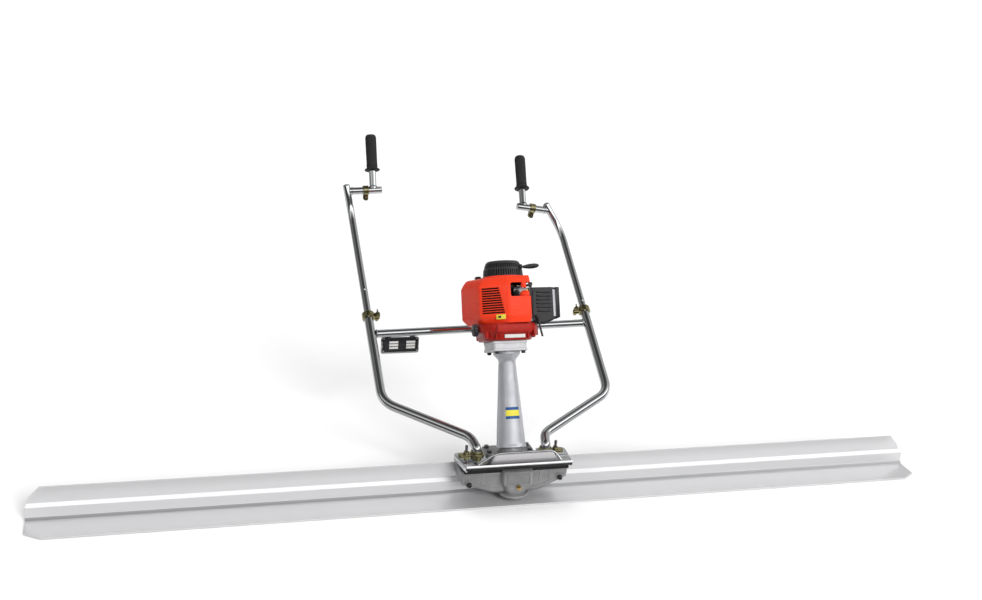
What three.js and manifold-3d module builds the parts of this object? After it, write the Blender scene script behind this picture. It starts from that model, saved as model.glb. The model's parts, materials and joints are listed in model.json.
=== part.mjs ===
// Power screed: a petrol engine on a leaning column drives an eccentric that shakes a long aluminium board.
// Millimetres, +Z up. X runs along the board, +Y towards the operator. The origin is on the sole, under the
// front face of the board's wall, at mid-length.
import * as THREE from "three";
import { mergeVertices } from "three/addons/utils/BufferGeometryUtils.js";
import Module from "manifold-3d";

const wasm = await Module();
wasm.setup();

// ---------- driving dimensions ----------
const GAP = 0.35;

const BOARD_LENGTH = 2500;
const SHEET = 4;
const SOLE_FRONT = 98;
const SOLE_BACK = 17.3;
const WALL_TOP = 36.5;
const LIP_BACK = 13.3;
const LIP_BOTTOM = 45;
const LIP_TOP = 88;
const LIP_CUT = 37;
const SOLE_CUT = 42;
const SOLE_CUT_DEPTH = 30;

const HEAD_X = 12;
const AXIS_Y = -6;
const AXIS_Z = 132;
const AXIS_LEAN = THREE.MathUtils.degToRad(24);

const WING_HALF = 150;
const WING_TOP = 91;
const PLATE_BOTTOM = 101;
const PLATE_TOP = 117;
const RIM_TOP = 145;
const PLATE_FRONT = -84;
const PLATE_LIP_BOTTOM = 107;
const PLATE_REAR = 13;

const NECK_R = 32;
const COLUMN_LENGTH = 262;
const COLUMN_FOOT_R = 41.5;
const COLUMN_NECK_R = 23.7;
const COLUMN_NECK_T = 236;
const COLUMN_TOP_R = 37;
const BOSS_BOTTOM = 6.5;
const BOSS_TOP = 100.3;
const FLANGE_TOP = 291;
const FAN_TOP = 337;
const SHROUD_TOP = 464;
const CAP_TOP = 511.5;
const PULL_START = -14;
const PULL_Y = -37;
const PULL_Z = 493;
const BOLT_AT = { left: [-131, 59], right: [124, 66] };
const LOUVRES = 11;

const TUBE_X = 331;
const FOOT_X = 98;
const FOOT_Y = -8;
const LOWER_R = 13.5;
const LOWER_BORE_R = 11.7;
const UPPER_R = 11;
const UPPER_BORE_R = 9.2;
const HANDLE_RISE = THREE.MathUtils.degToRad(32.3);
const BEND_Y = 152;
const BEND_Z = 215;
const LOWER_TUBE_END = 312;
const CROSSBAR_AT = 244;
const CROSSBAR_TILT = 8;
const CROSSBAR_R = 11.5;
const SIDES = 14;

// ---------- materials ----------
const finish = (color, roughness, metalness) => ({ color, roughness, metalness });
const ALUMINIUM = finish(0xd6d8da, 0.38, 0.9);
const CAST = finish(0xa7a9ab, 0.55, 0.7);
const CHROME = finish(0xdfe1e3, 0.12, 1);
const ZINC = finish(0xb9a55a, 0.4, 0.8);
const STEEL = finish(0x8d9093, 0.4, 0.9);
const RUBBER = finish(0x1b1b1d, 0.85, 0);
const BLACK = finish(0x202124, 0.5, 0);
const RED = finish(0xe8391f, 0.35, 0);
const DARK_RED = finish(0xb52a1c, 0.45, 0);
const BRASS = finish(0xc39a3d, 0.35, 1);
const PLATE_BLACK = finish(0x17181a, 0.4, 0.1);

// ---------- solids ----------
function toSolid(geometry) {
  const bare = new THREE.BufferGeometry();
  const flat = geometry.index ? geometry.toNonIndexed() : geometry;
  bare.setAttribute("position", flat.getAttribute("position"));
  const merged = mergeVertices(bare, 1e-3);
  return new wasm.Manifold(
    new wasm.Mesh({
      numProp: 3,
      vertProperties: new Float32Array(merged.attributes.position.array),
      triVerts: new Uint32Array(merged.index.array),
    }),
  );
}

function toGeometry(solid) {
  const mesh = solid.getMesh();
  const geometry = new THREE.BufferGeometry();
  geometry.setAttribute("position", new THREE.BufferAttribute(Float32Array.from(mesh.vertProperties), 3));
  geometry.setIndex(new THREE.BufferAttribute(Uint32Array.from(mesh.triVerts), 1));
  geometry.computeVertexNormals();
  return geometry;
}

const join = (first, ...rest) => toGeometry(rest.reduce((sum, g) => sum.add(toSolid(g)), toSolid(first)));
const cut = (first, ...rest) => toGeometry(rest.reduce((sum, g) => sum.subtract(toSolid(g)), toSolid(first)));

function box(width, depth, height, x = 0, y = 0, z = 0) {
  return new THREE.BoxGeometry(width, depth, height).translate(x, y, z);
}

// A straight round bar from one point to another.
function bar(from, to, radius, sides = SIDES) {
  const a = new THREE.Vector3(...from);
  const b = new THREE.Vector3(...to);
  const along = b.clone().sub(a);
  const direction = along.clone().normalize();
  const turn = new THREE.Quaternion().setFromUnitVectors(new THREE.Vector3(0, 1, 0), direction);
  const middle = a.add(b).multiplyScalar(0.5);
  return new THREE.CylinderGeometry(radius, radius, along.length(), sides)
    .applyQuaternion(turn)
    .translate(middle.x, middle.y, middle.z);
}

// A body of revolution about Z from [radius, height] pairs.
function turned(profile, sides = 28) {
  const points = profile.map(([r, z]) => new THREE.Vector2(r, z));
  return new THREE.LatheGeometry(points, sides).rotateX(Math.PI / 2);
}

function ring(outer, inner, low, high, sides = 24) {
  return turned([[inner, low], [outer, low], [outer, high], [inner, high], [inner, low]], sides);
}

// A prism from an outline in X and Y, standing on z = low.
function prism(outline, low, high) {
  const shape = new THREE.Shape(outline.map(([x, y]) => new THREE.Vector2(x, y)));
  const depth = high - low;
  return new THREE.ExtrudeGeometry(shape, { depth, bevelEnabled: false, steps: 1 }).translate(0, 0, low);
}

// A prism from an outline in Y and Z, running along X.
function sideways(outline, left, right) {
  const shape = new THREE.Shape(outline.map(([y, z]) => new THREE.Vector2(y, z)));
  return new THREE.ExtrudeGeometry(shape, { depth: right - left, bevelEnabled: false, steps: 1 })
    .applyMatrix4(new THREE.Matrix4().makeBasis(
      new THREE.Vector3(0, 1, 0),
      new THREE.Vector3(0, 0, 1),
      new THREE.Vector3(1, 0, 0),
    ))
    .translate(left, 0, 0);
}

// A rounded outline through the given corners.
function rounded(corners, radius, steps = 4) {
  const outline = [];
  corners.forEach(([x, y], i) => {
    const here = new THREE.Vector2(x, y);
    const before = new THREE.Vector2(...corners[(i + corners.length - 1) % corners.length]);
    const after = new THREE.Vector2(...corners[(i + 1) % corners.length]);
    const start = here.clone().add(before.sub(here).setLength(radius));
    const end = here.clone().add(after.sub(here).setLength(radius));
    for (let k = 0; k <= steps; k++) {
      const p = new THREE.QuadraticBezierCurve(start, here, end).getPoint(k / steps);
      outline.push([p.x, p.y]);
    }
  });
  return outline;
}

// A tube's centre line: straight runs joined by bends.
function tubeLine(points, bend) {
  const corners = points.map((p) => new THREE.Vector3(...p));
  const path = new THREE.CurvePath();
  let from = corners[0];
  for (let i = 1; i < corners.length - 1; i++) {
    const here = corners[i];
    const toLast = corners[i - 1].clone().sub(here);
    const toNext = corners[i + 1].clone().sub(here);
    const reach = Math.min(bend, 0.48 * toLast.length(), 0.48 * toNext.length());
    const start = here.clone().add(toLast.setLength(reach));
    const end = here.clone().add(toNext.setLength(reach));
    path.add(new THREE.LineCurve3(from, start));
    path.add(new THREE.QuadraticBezierCurve3(start, here, end));
    from = end;
  }
  path.add(new THREE.LineCurve3(from, corners[corners.length - 1]));
  return path;
}

function tube(points, bend, radius, steps) {
  const circle = new THREE.Shape();
  for (let i = 0; i < SIDES; i++) {
    const angle = (i / SIDES) * 2 * Math.PI;
    const [x, y] = [radius * Math.cos(angle), radius * Math.sin(angle)];
    if (i) circle.lineTo(x, y);
    else circle.moveTo(x, y);
  }
  const extrudePath = tubeLine(points, bend);
  return new THREE.ExtrudeGeometry(circle, { steps, bevelEnabled: false, extrudePath });
}

const root = new THREE.Group();
root.name = "power_screed";
const head = new THREE.Group();
head.position.x = HEAD_X;
root.add(head);
const drive = new THREE.Group();
drive.position.set(0, AXIS_Y, AXIS_Z);
drive.rotation.x = -AXIS_LEAN;
head.add(drive);

function add(group, name, geometry, material) {
  const mesh = new THREE.Mesh(geometry, new THREE.MeshStandardMaterial(material));
  mesh.name = name;
  group.add(mesh);
  return mesh;
}

const SIDE = { left: -1, right: 1 };
const unit = (v) => new THREE.Vector3(...v).normalize();

function step(from, direction, distance) {
  return direction.clone().multiplyScalar(distance).add(new THREE.Vector3(...from)).toArray();
}

// ---------- board ----------
const boardSection = [
  [-SOLE_FRONT, 0], [SOLE_BACK, 0], [SOLE_BACK, SHEET], [SHEET, SHEET],
  [SHEET, WALL_TOP - 1.7], [LIP_BACK + SHEET, LIP_BOTTOM - 1.7], [LIP_BACK + SHEET, LIP_TOP],
  [LIP_BACK, LIP_TOP], [LIP_BACK, LIP_BOTTOM], [0, WALL_TOP], [0, SHEET], [-SOLE_FRONT, SHEET],
];
const half = BOARD_LENGTH / 2;
const endCuts = [];
for (const side of [-1, 1]) {
  const mirrored = (outline) => (side < 0 ? outline.map(([x, v]) => [-x, v]).reverse() : outline);
  const lipCut = [
    [half + 1, LIP_BOTTOM + 3], [half + 1, LIP_TOP + 9],
    [half - LIP_CUT, LIP_TOP + 9], [half - LIP_CUT, LIP_TOP],
  ];
  endCuts.push(prism(mirrored(lipCut), -60, 60).rotateX(Math.PI / 2));
  const soleCut = [
    [half + 1, -SOLE_FRONT + SOLE_CUT_DEPTH], [half - SOLE_CUT, -SOLE_FRONT],
    [half - SOLE_CUT, -SOLE_FRONT - 5], [half + 1, -SOLE_FRONT - 5],
  ];
  endCuts.push(prism(mirrored(soleCut), -5, 20));
}
const boltHoles = Object.values(BOLT_AT).map(([x, z]) => bar([HEAD_X + x, -5, z], [HEAD_X + x, 30, z], 5.4));
add(root, "screed_board", cut(sideways(boardSection, -half, half), ...endCuts, ...boltHoles), ALUMINIUM);

// ---------- exciter ----------
const onAxis = (t) => [0, AXIS_Y + t * Math.sin(AXIS_LEAN), AXIS_Z + t * Math.cos(AXIS_LEAN)];
const wingTop = [
  [-WING_HALF, -62], [-70, -72], [70, -72], [WING_HALF, -62],
  [WING_HALF, 8], [70, 12], [-70, 12], [-WING_HALF, 8],
];
const wingFace = [
  [-WING_HALF, WING_TOP], [-WING_HALF, 50], [-128, 47], [-86, 35], [-52, 28],
  [52, 28], [74, 31.5], [104, 44.5], [WING_HALF, 60], [WING_HALF, WING_TOP],
];
const wings = toGeometry(
  toSolid(prism(rounded(wingTop, 8), 0, WING_TOP))
    .intersect(toSolid(prism(wingFace, -20, 90).rotateX(Math.PI / 2))),
);
const bossOutline = [];
for (let i = 0; i < 24; i++) {
  const angle = (i / 24) * 2 * Math.PI;
  const shift = Math.sin(angle) > 0 ? -43.5 : -56;
  bossOutline.push([41 * Math.cos(angle), shift + 41 * Math.sin(angle)]);
}
const bossShape = new THREE.Shape(bossOutline.map(([x, y]) => new THREE.Vector2(x, y)));
const boss = new THREE.ExtrudeGeometry(bossShape, {
  depth: BOSS_TOP - BOSS_BOTTOM - 28,
  steps: 1,
  bevelEnabled: true,
  bevelThickness: 14,
  bevelSize: 14,
  bevelOffset: -14,
  bevelSegments: 3,
}).translate(0, 0, BOSS_BOTTOM + 14);
const hub = prism(rounded([[-60, -62], [60, -62], [60, 11], [-60, 11]], 14), WING_TOP - 8, 99);
const wingFree = [
  box(400, 60, 80, 0, LIP_BACK - 0.6 + 30, 48),
  box(400, 60, 66, 0, -0.6 + 30, 12.6),
];
const neck = bar(onAxis(-44), onAxis(-1), NECK_R, 28);
const cavity = bar(onAxis(-92), onAxis(20), 27, 24);
const wingHoles = Object.values(BOLT_AT).map(([x, z]) => bar([x, -90, z], [x, 30, z], 5.4));
const plugHole = bar([0, -110, 57], [0, -70, 57], 5.35);
let exciter = join(wings, boss, hub, neck);
exciter = cut(exciter, ...wingFree, cavity, ...wingHoles, plugHole);
add(head, "exciter_housing", exciter, CAST);

for (const [name, [x, z]] of Object.entries(BOLT_AT)) {
  const back = LIP_BACK + SHEET + GAP;
  const bracket = cut(
    join(box(52, 5, 42, x, back + 2.5, 65), box(52, 24, 5, x, back + 12, 46.5)),
    bar([x, 0, z], [x, 40, z], 5.4),
  );
  add(head, "board_bracket_" + name, bracket, STEEL);
  const bolt = join(
    bar([x, -74, z], [x, 32, z], 5),
    bar([x, -82, z], [x, -73.5, z], 8.5, 6),
    bar([x, back + 5 + GAP, z], [x, 32, z], 8.5, 6),
  );
  add(head, "mounting_bolt_" + name, bolt, STEEL);
}
const plug = join(bar([0, -101.5, 57], [0, -86, 57], 5), bar([0, -104, 57], [0, -98, 57], 7.5, 6));
add(head, "grease_plug", plug, BRASS);

// ---------- drive line, along the leaning axis ----------
add(drive, "bearing_lower", ring(26.6, 10.4, -90, -78), STEEL);
add(drive, "bearing_upper", ring(26.6, 10.4, -22, -8), STEEL);
const shaft = turned([[0, -91], [10, -91], [10, -7], [9, -7], [9, 262], [0, 262]], 20);
const weight = cut(
  turned([[10.3, -72], [23, -72], [23, -30], [10.3, -30], [10.3, -72]], 24),
  box(60, 60, 60, 0, 30 + 6, -51),
);
add(drive, "drive_shaft", shaft, STEEL);
add(drive, "eccentric_weight", join(weight, ring(14, 10.3, -72, -30, 20)), STEEL);

const columnOuter = [
  [0, 0], [COLUMN_FOOT_R, 0], [COLUMN_FOOT_R, 6], [COLUMN_NECK_R, COLUMN_NECK_T],
  [COLUMN_TOP_R, COLUMN_LENGTH - 8], [COLUMN_TOP_R, COLUMN_LENGTH], [0, COLUMN_LENGTH],
];
const columnBore = turned([
  [0, -1], [30, -1], [14, 220], [14, COLUMN_LENGTH + 1], [0, COLUMN_LENGTH + 1],
], 24);
add(drive, "column", cut(turned(columnOuter, 32), columnBore), CAST);

const footEars = prism(rounded([[-70, -6], [70, -6], [70, 50], [-70, 50]], 12), 101, 114.6);
const footRing = cut(footEars, bar(onAxis(-60), onAxis(20), NECK_R + 0.5, 28));
add(head, "column_foot_flange", footRing, CAST);

const flangeOutline = rounded([[-51, -47.8], [48, -47.8], [48, 57], [-51, 57]], 9);
const engineFlange = cut(
  prism(flangeOutline, COLUMN_LENGTH + GAP, FLANGE_TOP),
  turned([[0, 255], [34, 255], [34, 300], [0, 300]], 24),
);
add(drive, "engine_flange", engineFlange, CAST);
const drum = cut(
  turned([[0, 262.35], [31, 262.35], [31, 290], [0, 290]], 24),
  turned([[0, 268], [28, 268], [28, 300], [0, 300]], 24),
);
add(drive, "clutch_drum", drum, STEEL);

// ---------- engine ----------
const rotor = turned([
  [0, 269.5], [24, 269.5], [24, 287], [9, 287], [9, FAN_TOP + 6], [0, FAN_TOP + 6],
], 20);
add(drive, "crankshaft", rotor, STEEL);
const fanOutline = rounded([
  [-84, -44], [-52, -78], [52, -78], [78, -48], [78, 62], [40, 84], [-52, 84], [-84, 52],
], 12);
const fanHousing = cut(
  join(
    prism(fanOutline, FLANGE_TOP + GAP + 8, FAN_TOP - GAP),
    prism(rounded([[-66, -62], [66, -62], [66, 66], [-66, 66]], 16), FLANGE_TOP + GAP, FLANGE_TOP + 12),
  ),
  turned([[0, 280], [26, 280], [26, 328], [0, 328]], 24),
  turned([[0, 322], [10.5, 322], [10.5, 350], [0, 350]], 20),
);
add(drive, "fan_housing", fanHousing, DARK_RED);

const shroudOutline = [[50, -95], [50, 96], [-78, 96], [-112, 45], [-82, -44], [-13, -95]];

// A body on the shroud's outline, drawn in by an inset, with sloping shoulders at both ends.
function cowl(low, high, inset) {
  const shape = new THREE.Shape(shroudOutline.map(([x, y]) => new THREE.Vector2(x, y)));
  return new THREE.ExtrudeGeometry(shape, {
    depth: high - low - 24,
    steps: 1,
    bevelEnabled: true,
    bevelThickness: 12,
    bevelSize: 9,
    bevelOffset: -9 - inset,
    bevelSegments: 1,
  }).translate(0, 0, low + 12);
}

const louvreStart = new THREE.Vector2(-82, -44);
const louvreWay = new THREE.Vector2(-13 + 82, -95 + 44).normalize();
const louvres = [];
for (let i = 0; i < LOUVRES; i++) {
  const length = 66.5 - i * 1.5;
  const middle = louvreWay.clone().multiplyScalar(5.5 + length / 2).add(louvreStart);
  const slot = box(length, 14, 4.2).rotateZ(louvreWay.angle());
  louvres.push(slot.translate(middle.x, middle.y, 365.6 + i * 6.58));
}
const shroud = cut(
  cowl(FAN_TOP, SHROUD_TOP, 0),
  cowl(FAN_TOP + 4, SHROUD_TOP - 4, 4),
  box(68, 60, 38, 26, -80, 426),
  turned([[0, FAN_TOP - 4], [46, FAN_TOP - 4], [46, FAN_TOP + 8], [0, FAN_TOP + 8]], 24),
  turned([[0, SHROUD_TOP - 10], [40, SHROUD_TOP - 10], [40, SHROUD_TOP + 10], [0, SHROUD_TOP + 10]], 24),
  ...louvres,
);
add(drive, "shroud", shroud, RED);

const fins = [];
for (let i = 0; i < 6; i++) fins.push(box(74, 74, 4, 0, 26, 372 + i * 12));
const cylinder = cut(
  join(bar([0, 26, FAN_TOP + 6], [0, 26, 440], 26, 20), ...fins),
  turned([[0, FAN_TOP], [10.5, FAN_TOP], [10.5, FAN_TOP + 8], [0, FAN_TOP + 8]], 20),
);
add(drive, "cylinder", cylinder, ALUMINIUM);

const coverPlan = rounded([[50.4, -62], [146, -56], [146, 48], [50.4, 58]], 10);
const coverFront = [
  [50, FAN_TOP + 1], [79.5, FAN_TOP + 1], [84, 331], [97, 331], [147, 350], [147, 434], [50, 434],
];
const cover = toSolid(prism(coverPlan, 320, 440))
  .intersect(toSolid(prism(coverFront, -80, 80).rotateX(Math.PI / 2)));
const stopPocket = bar([62, -50, 429.4], [62, -50, 440], 6.6, 14);
add(drive, "air_cleaner_cover", cut(toGeometry(cover), stopPocket), BLACK);
const carburettor = cut(
  join(
    box(43.6, 28, 30, 23.8, -73, 420),
    box(16, 40, 22, 37.4, -44, 424),
    bar([30, -66, 434], [30, -66, 438], 8, 14),
  ),
  bar([11, -90, 417], [11, -84.2, 417], 8.7, 16),
);
add(drive, "carburettor", carburettor, CAST);
const throttle = join(bar([30, -66, 438.4], [30, -66, 442], 7, 14), box(26, 6, 3.4, 44, -66, 440.2));
add(drive, "throttle_lever", throttle, BLACK);
const primer = turned([[0, 0], [8, 0], [8, 4], [6, 8], [0, 10]], 16).rotateX(Math.PI / 2);
add(drive, "primer_bulb", primer.translate(11, -87.4, 417), RUBBER);
add(drive, "stop_button", bar([62, -50, 434.6], [62, -50, 448], 6, 14), BLACK);
const choke = join(
  bar([76, -66, 353], [76, -61.6, 353], 6, 14),
  bar([76, -65, 353], [84.5, -67, 297], 3, 10),
);
add(drive, "choke_lever", choke, BLACK);
const fuelCap = join(bar([-84.6, -16, 322], [-98, -16, 322], 17, 18), box(5, 30, 6, -99, -16, 322));
add(drive, "fuel_cap", fuelCap, BLACK);
const plugCap = join(
  bar([-60, 42, SHROUD_TOP + GAP], [-60, 42, SHROUD_TOP + 11], 9, 14),
  bar([-60, 42, SHROUD_TOP + 7.5], [-60, 64, SHROUD_TOP + 7.5], 5.5, 12),
);
add(drive, "spark_plug_cap", plugCap, BLACK);

const capOuter = turned([
  [0, SHROUD_TOP + GAP], [56, SHROUD_TOP + GAP], [54, SHROUD_TOP + 22],
  [47, CAP_TOP - 4], [40, CAP_TOP], [0, CAP_TOP],
], 32);
const capInner = turned([
  [0, SHROUD_TOP - 5], [50, SHROUD_TOP - 5], [48, SHROUD_TOP + 20], [42, CAP_TOP - 8], [0, CAP_TOP - 5],
], 28);
const ropeHole = bar([20, PULL_Y, PULL_Z], [70, PULL_Y, PULL_Z], 3, 12);
add(drive, "recoil_cover", cut(capOuter, capInner, ropeHole), BLACK);
const pulley = turned([
  [0, SHROUD_TOP + 3], [36, SHROUD_TOP + 3], [32, SHROUD_TOP + 9],
  [36, SHROUD_TOP + 15], [0, SHROUD_TOP + 15],
], 24);
add(drive, "recoil_pulley", pulley, BLACK);
const pullOutline = rounded([
  [47.5, -41], [54, -46], [88, -46], [94, -37], [88, -28], [54, -28], [47.5, -33],
], 3);
const pullGrip = cut(
  prism(pullOutline, PULL_Z - 7, PULL_Z + 7),
  box(22, 30, 5, 74, PULL_Y, PULL_Z),
);
const pull = join(bar([PULL_START, PULL_Y, PULL_Z], [60, PULL_Y, PULL_Z], 2.2, 10), pullGrip);
add(drive, "pull_handle", pull, BLACK);

// ---------- handle frame ----------
const plateOutline = rounded([
  [-146, PLATE_FRONT], [154, PLATE_FRONT], [160, PLATE_REAR], [76, PLATE_REAR],
  [76, -54], [-76, -54], [-76, PLATE_REAR], [-160, PLATE_REAR],
], 9);
const rim = cut(
  sideways([[-81, PLATE_TOP - 1], [-54.5, PLATE_TOP - 1], [-54.5, RIM_TOP], [-60.5, RIM_TOP]], -112, 124),
  box(120, 60, 60, 0, 0, 30).rotateY(0.6).translate(160, -70, PLATE_TOP),
  box(120, 60, 60, 0, 0, 30).rotateY(-0.6).translate(-146, -70, PLATE_TOP),
);
const plateBody = cut(
  join(prism(plateOutline, PLATE_BOTTOM, PLATE_TOP), rim),
  box(360, 30, 12, 0, -83, PLATE_LIP_BOTTOM - 6),
);
const MOUNTS = {
  front_left: [-118, -54],
  front_right: [118, -54],
  rear_left: [-128, -12],
  rear_right: [128, -12],
};
add(head, "handle_plate", plateBody, CHROME);
for (const [name, [x, y]] of Object.entries(MOUNTS)) {
  const mount = bar([x, y, WING_TOP + GAP], [x, y, PLATE_BOTTOM - GAP], 11, 16);
  add(head, "rubber_mount_" + name, mount, RUBBER);
}

const rise = unit([0, Math.cos(HANDLE_RISE), Math.sin(HANDLE_RISE)]);
const across = unit([0, -Math.sin(HANDLE_RISE), Math.cos(HANDLE_RISE)]);
const onTube = (s, distance) => step([s * TUBE_X, BEND_Y, BEND_Z], rise, distance);
const crossbarAt = (s, x) => [s * x, ...onTube(s, CROSSBAR_AT + s * CROSSBAR_TILT).slice(1)];
for (const [name, s] of Object.entries(SIDE)) {
  const line = [
    [s * FOOT_X, FOOT_Y, PLATE_TOP + GAP], [s * FOOT_X, FOOT_Y, PLATE_TOP + 18], [s * 106, 32, 151],
    [s * TUBE_X, BEND_Y, BEND_Z], onTube(s, LOWER_TUBE_END),
  ];
  const outer = tube(line, 38, LOWER_R, 34);
  const bore = bar(onTube(s, 120), onTube(s, LOWER_TUBE_END + 20), LOWER_BORE_R);
  const notch = bar(
    crossbarAt(s, TUBE_X - LOWER_R - 20),
    crossbarAt(s, TUBE_X - LOWER_R + 0.2),
    CROSSBAR_R + 0.5,
  );
  add(head, "lower_tube_" + name, cut(outer, bore, notch), CHROME);

  const clampAt = onTube(s, LOWER_TUBE_END - 12);
  const boltBase = [s * (TUBE_X - 26), clampAt[1], clampAt[2]];
  const ear = box(22, 16, 30).rotateX(HANDLE_RISE).translate(clampAt[0] - s * 22, clampAt[1], clampAt[2]);
  const clampBody = cut(
    join(bar(step(clampAt, rise, -9), step(clampAt, rise, 9), 18.5, 18), ear),
    bar(step(clampAt, rise, -40), step(clampAt, rise, 40), LOWER_R + 0.4, 20),
    bar(step(boltBase, across, -30), step(boltBase, across, 30), 4.4, 14),
  );
  add(head, "tube_clamp_" + name, clampBody, ZINC);
  const clampBolt = join(
    bar(step(boltBase, across, -22), step(boltBase, across, 24), 4, 12),
    bar(step(boltBase, across, 15.4), step(boltBase, across, 21), 7, 6),
    bar(step(boltBase, across, -22), step(boltBase, across, -15.4), 7, 6),
  );
  add(head, "tube_clamp_bolt_" + name, clampBolt, ZINC);

  const studX = s * (FOOT_X + 29);
  const strap = cut(
    join(
      bar([s * FOOT_X, FOOT_Y, PLATE_TOP + GAP], [s * FOOT_X, FOOT_Y, PLATE_TOP + 13], 19, 18),
      box(30, 20, 12.6, s * (FOOT_X + 24), FOOT_Y, PLATE_TOP + GAP + 6.3),
    ),
    tube(line, 38, LOWER_R + 0.7, 34),
    bar([studX, FOOT_Y, 90], [studX, FOOT_Y, 160], 4.4, 14),
  );
  add(head, "foot_clamp_" + name, strap, ZINC);
  const stud = join(
    bar([studX, FOOT_Y, PLATE_TOP + GAP], [studX, FOOT_Y, PLATE_TOP + 30], 4, 12),
    bar([studX, FOOT_Y, PLATE_TOP + 13.4], [studX, FOOT_Y, PLATE_TOP + 20], 7.5, 6),
  );
  add(head, "foot_stud_" + name, stud, STEEL);
}
const barLeft = crossbarAt(-1, TUBE_X - LOWER_R - 0.1);
const barRight = crossbarAt(1, TUBE_X - LOWER_R - 0.1);
add(head, "crossbar", bar(barLeft, barRight, CROSSBAR_R, 18), CHROME);

const plateShare = (TUBE_X - 246) / (2 * TUBE_X);
const platePoint = new THREE.Vector3(...barLeft).lerp(new THREE.Vector3(...barRight), plateShare);
const plateDrop = platePoint.z - CROSSBAR_R - GAP;
const dataPlate = box(104, 3, 44, -246, platePoint.y - 6, plateDrop - 23);
add(head, "data_plate", dataPlate, PLATE_BLACK);
const bracketPlate = box(112, 3, 50, -246, platePoint.y - 2.4, plateDrop - 26);
add(head, "data_plate_bracket", bracketPlate, CHROME);

// ---------- upper handle ----------
const UPPER = {
  left: {
    extension: 690,
    top: [-11, 18, 76],
    tip: [-7, 5, 21],
    stub: [107, 0, 4],
    post: 78,
    lean: [0.01, 0.497, 0.868],
  },
  right: {
    extension: 617.5,
    top: [-43.5, 18, 65.7],
    tip: [-8.8, 5, 24],
    stub: [-109, 0, 15.8],
    post: 84,
    lean: [0.062, 0.631, 0.773],
  },
};
const gripProfile = [
  [9, 0], [23, 0], [24, 3], [17, 6], [16.2, 12], [16.4, 104], [15.2, 112], [10, 116],
  [0, 117], [0, 112.5], [9, 112.5], [9, 0],
];
for (const [name, s] of Object.entries(SIDE)) {
  const { extension, top, tip, stub, post, lean } = UPPER[name];
  const bend = onTube(s, extension);
  const joint = bend.map((v, i) => v + top[i]);
  const end = joint.map((v, i) => v + tip[i]);
  const stubWay = unit(stub);
  const onStub = (distance) => step(joint, stubWay, distance);
  add(head, "telescope_bush_" + name, bar(onTube(s, 176), onTube(s, 190 - GAP), 11.4, 16), BLACK);
  const outer = tube([onTube(s, 190), bend, end], 45, UPPER_R, 30);
  const stubBar = bar(joint, onStub(52), UPPER_R + 0.3, SIDES);
  const socket = bar(onStub(14), onStub(60), 9.6);
  const bore = bar(onTube(s, 180), onTube(s, extension - 70), UPPER_BORE_R);
  add(head, "upper_tube_" + name, cut(join(outer, stubBar), socket, bore), CHROME);

  const away = unit(lean);
  const onPost = (distance) => step(onStub(post), away, distance);
  const arm = join(
    bar(onStub(20), onStub(106), 9, SIDES),
    bar(onStub(53), onStub(106), UPPER_R, SIDES),
    bar(onPost(0), onPost(60), 12, SIDES),
    bar(onPost(0), onPost(172), 8.6, SIDES),
  );
  add(head, "grip_arm_" + name, arm, CHROME);
  const gripTurn = new THREE.Quaternion().setFromUnitVectors(new THREE.Vector3(0, 0, 1), away);
  const grip = turned(gripProfile, 24).applyQuaternion(gripTurn).translate(...onPost(62));
  add(head, "grip_" + name, grip, RUBBER);

  const drop = unit([0, 0, -1]).addScaledVector(stubWay, stubWay.z).normalize();
  const forward = unit([0, 1, 0]);
  const boltAt = step(onStub(54), drop, 24);
  const clampRing = cut(
    join(
      bar(onStub(45), onStub(63), 15.5, 18),
      box(16, 14, 22).translate(...step(onStub(54), drop, 20)),
    ),
    bar(onStub(30), onStub(78), UPPER_R + 0.7, 20),
    bar(step(boltAt, forward, -30), step(boltAt, forward, 30), 3.9, 12),
  );
  add(head, "grip_clamp_" + name, clampRing, ZINC);
  const clampBolt = join(
    bar(step(boltAt, forward, -16), step(boltAt, forward, 15), 3.5, 12),
    bar(step(boltAt, forward, -14), step(boltAt, forward, -7.4), 7, 6),
    bar(step(boltAt, forward, 7.4), step(boltAt, forward, 13), 7, 6),
  );
  add(head, "grip_clamp_bolt_" + name, clampBolt, ZINC);
}

export default root;
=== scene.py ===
import json
import math

import bmesh
import bpy
from mathutils import Matrix, Vector


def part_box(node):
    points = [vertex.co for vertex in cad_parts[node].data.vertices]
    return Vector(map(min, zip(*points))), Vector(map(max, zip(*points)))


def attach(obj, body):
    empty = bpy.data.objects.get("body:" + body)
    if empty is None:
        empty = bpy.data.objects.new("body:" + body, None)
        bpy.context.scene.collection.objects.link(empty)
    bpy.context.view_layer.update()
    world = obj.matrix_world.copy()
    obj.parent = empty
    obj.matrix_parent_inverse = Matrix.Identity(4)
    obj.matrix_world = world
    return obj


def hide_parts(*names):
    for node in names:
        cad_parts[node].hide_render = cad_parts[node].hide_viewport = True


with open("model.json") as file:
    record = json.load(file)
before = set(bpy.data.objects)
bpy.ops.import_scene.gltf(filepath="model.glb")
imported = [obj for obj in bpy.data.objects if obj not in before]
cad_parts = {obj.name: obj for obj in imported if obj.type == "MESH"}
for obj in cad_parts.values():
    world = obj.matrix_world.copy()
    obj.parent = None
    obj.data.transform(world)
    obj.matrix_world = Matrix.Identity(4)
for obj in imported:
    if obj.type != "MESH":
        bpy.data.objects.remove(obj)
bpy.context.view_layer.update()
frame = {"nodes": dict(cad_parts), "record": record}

# ---------- dimensions repeated from the design, in millimetres ----------
HEAD_X = 12
AXIS_Y = -6
AXIS_Z = 132
LEAN = math.radians(24)
HALF_BOARD = 1250
WALL_TOP = 36.5
LIP_BACK = 13.3
LIP_BOTTOM = 45
LIP_TOP = 88
SHEET = 4
FOLD = 7.5
PLATE_TOP = 117
RIM_TOP = 145
PLATE_FRONT = -84
PLATE_LIP_BOTTOM = 107
PLATE_REAR = 13
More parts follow.
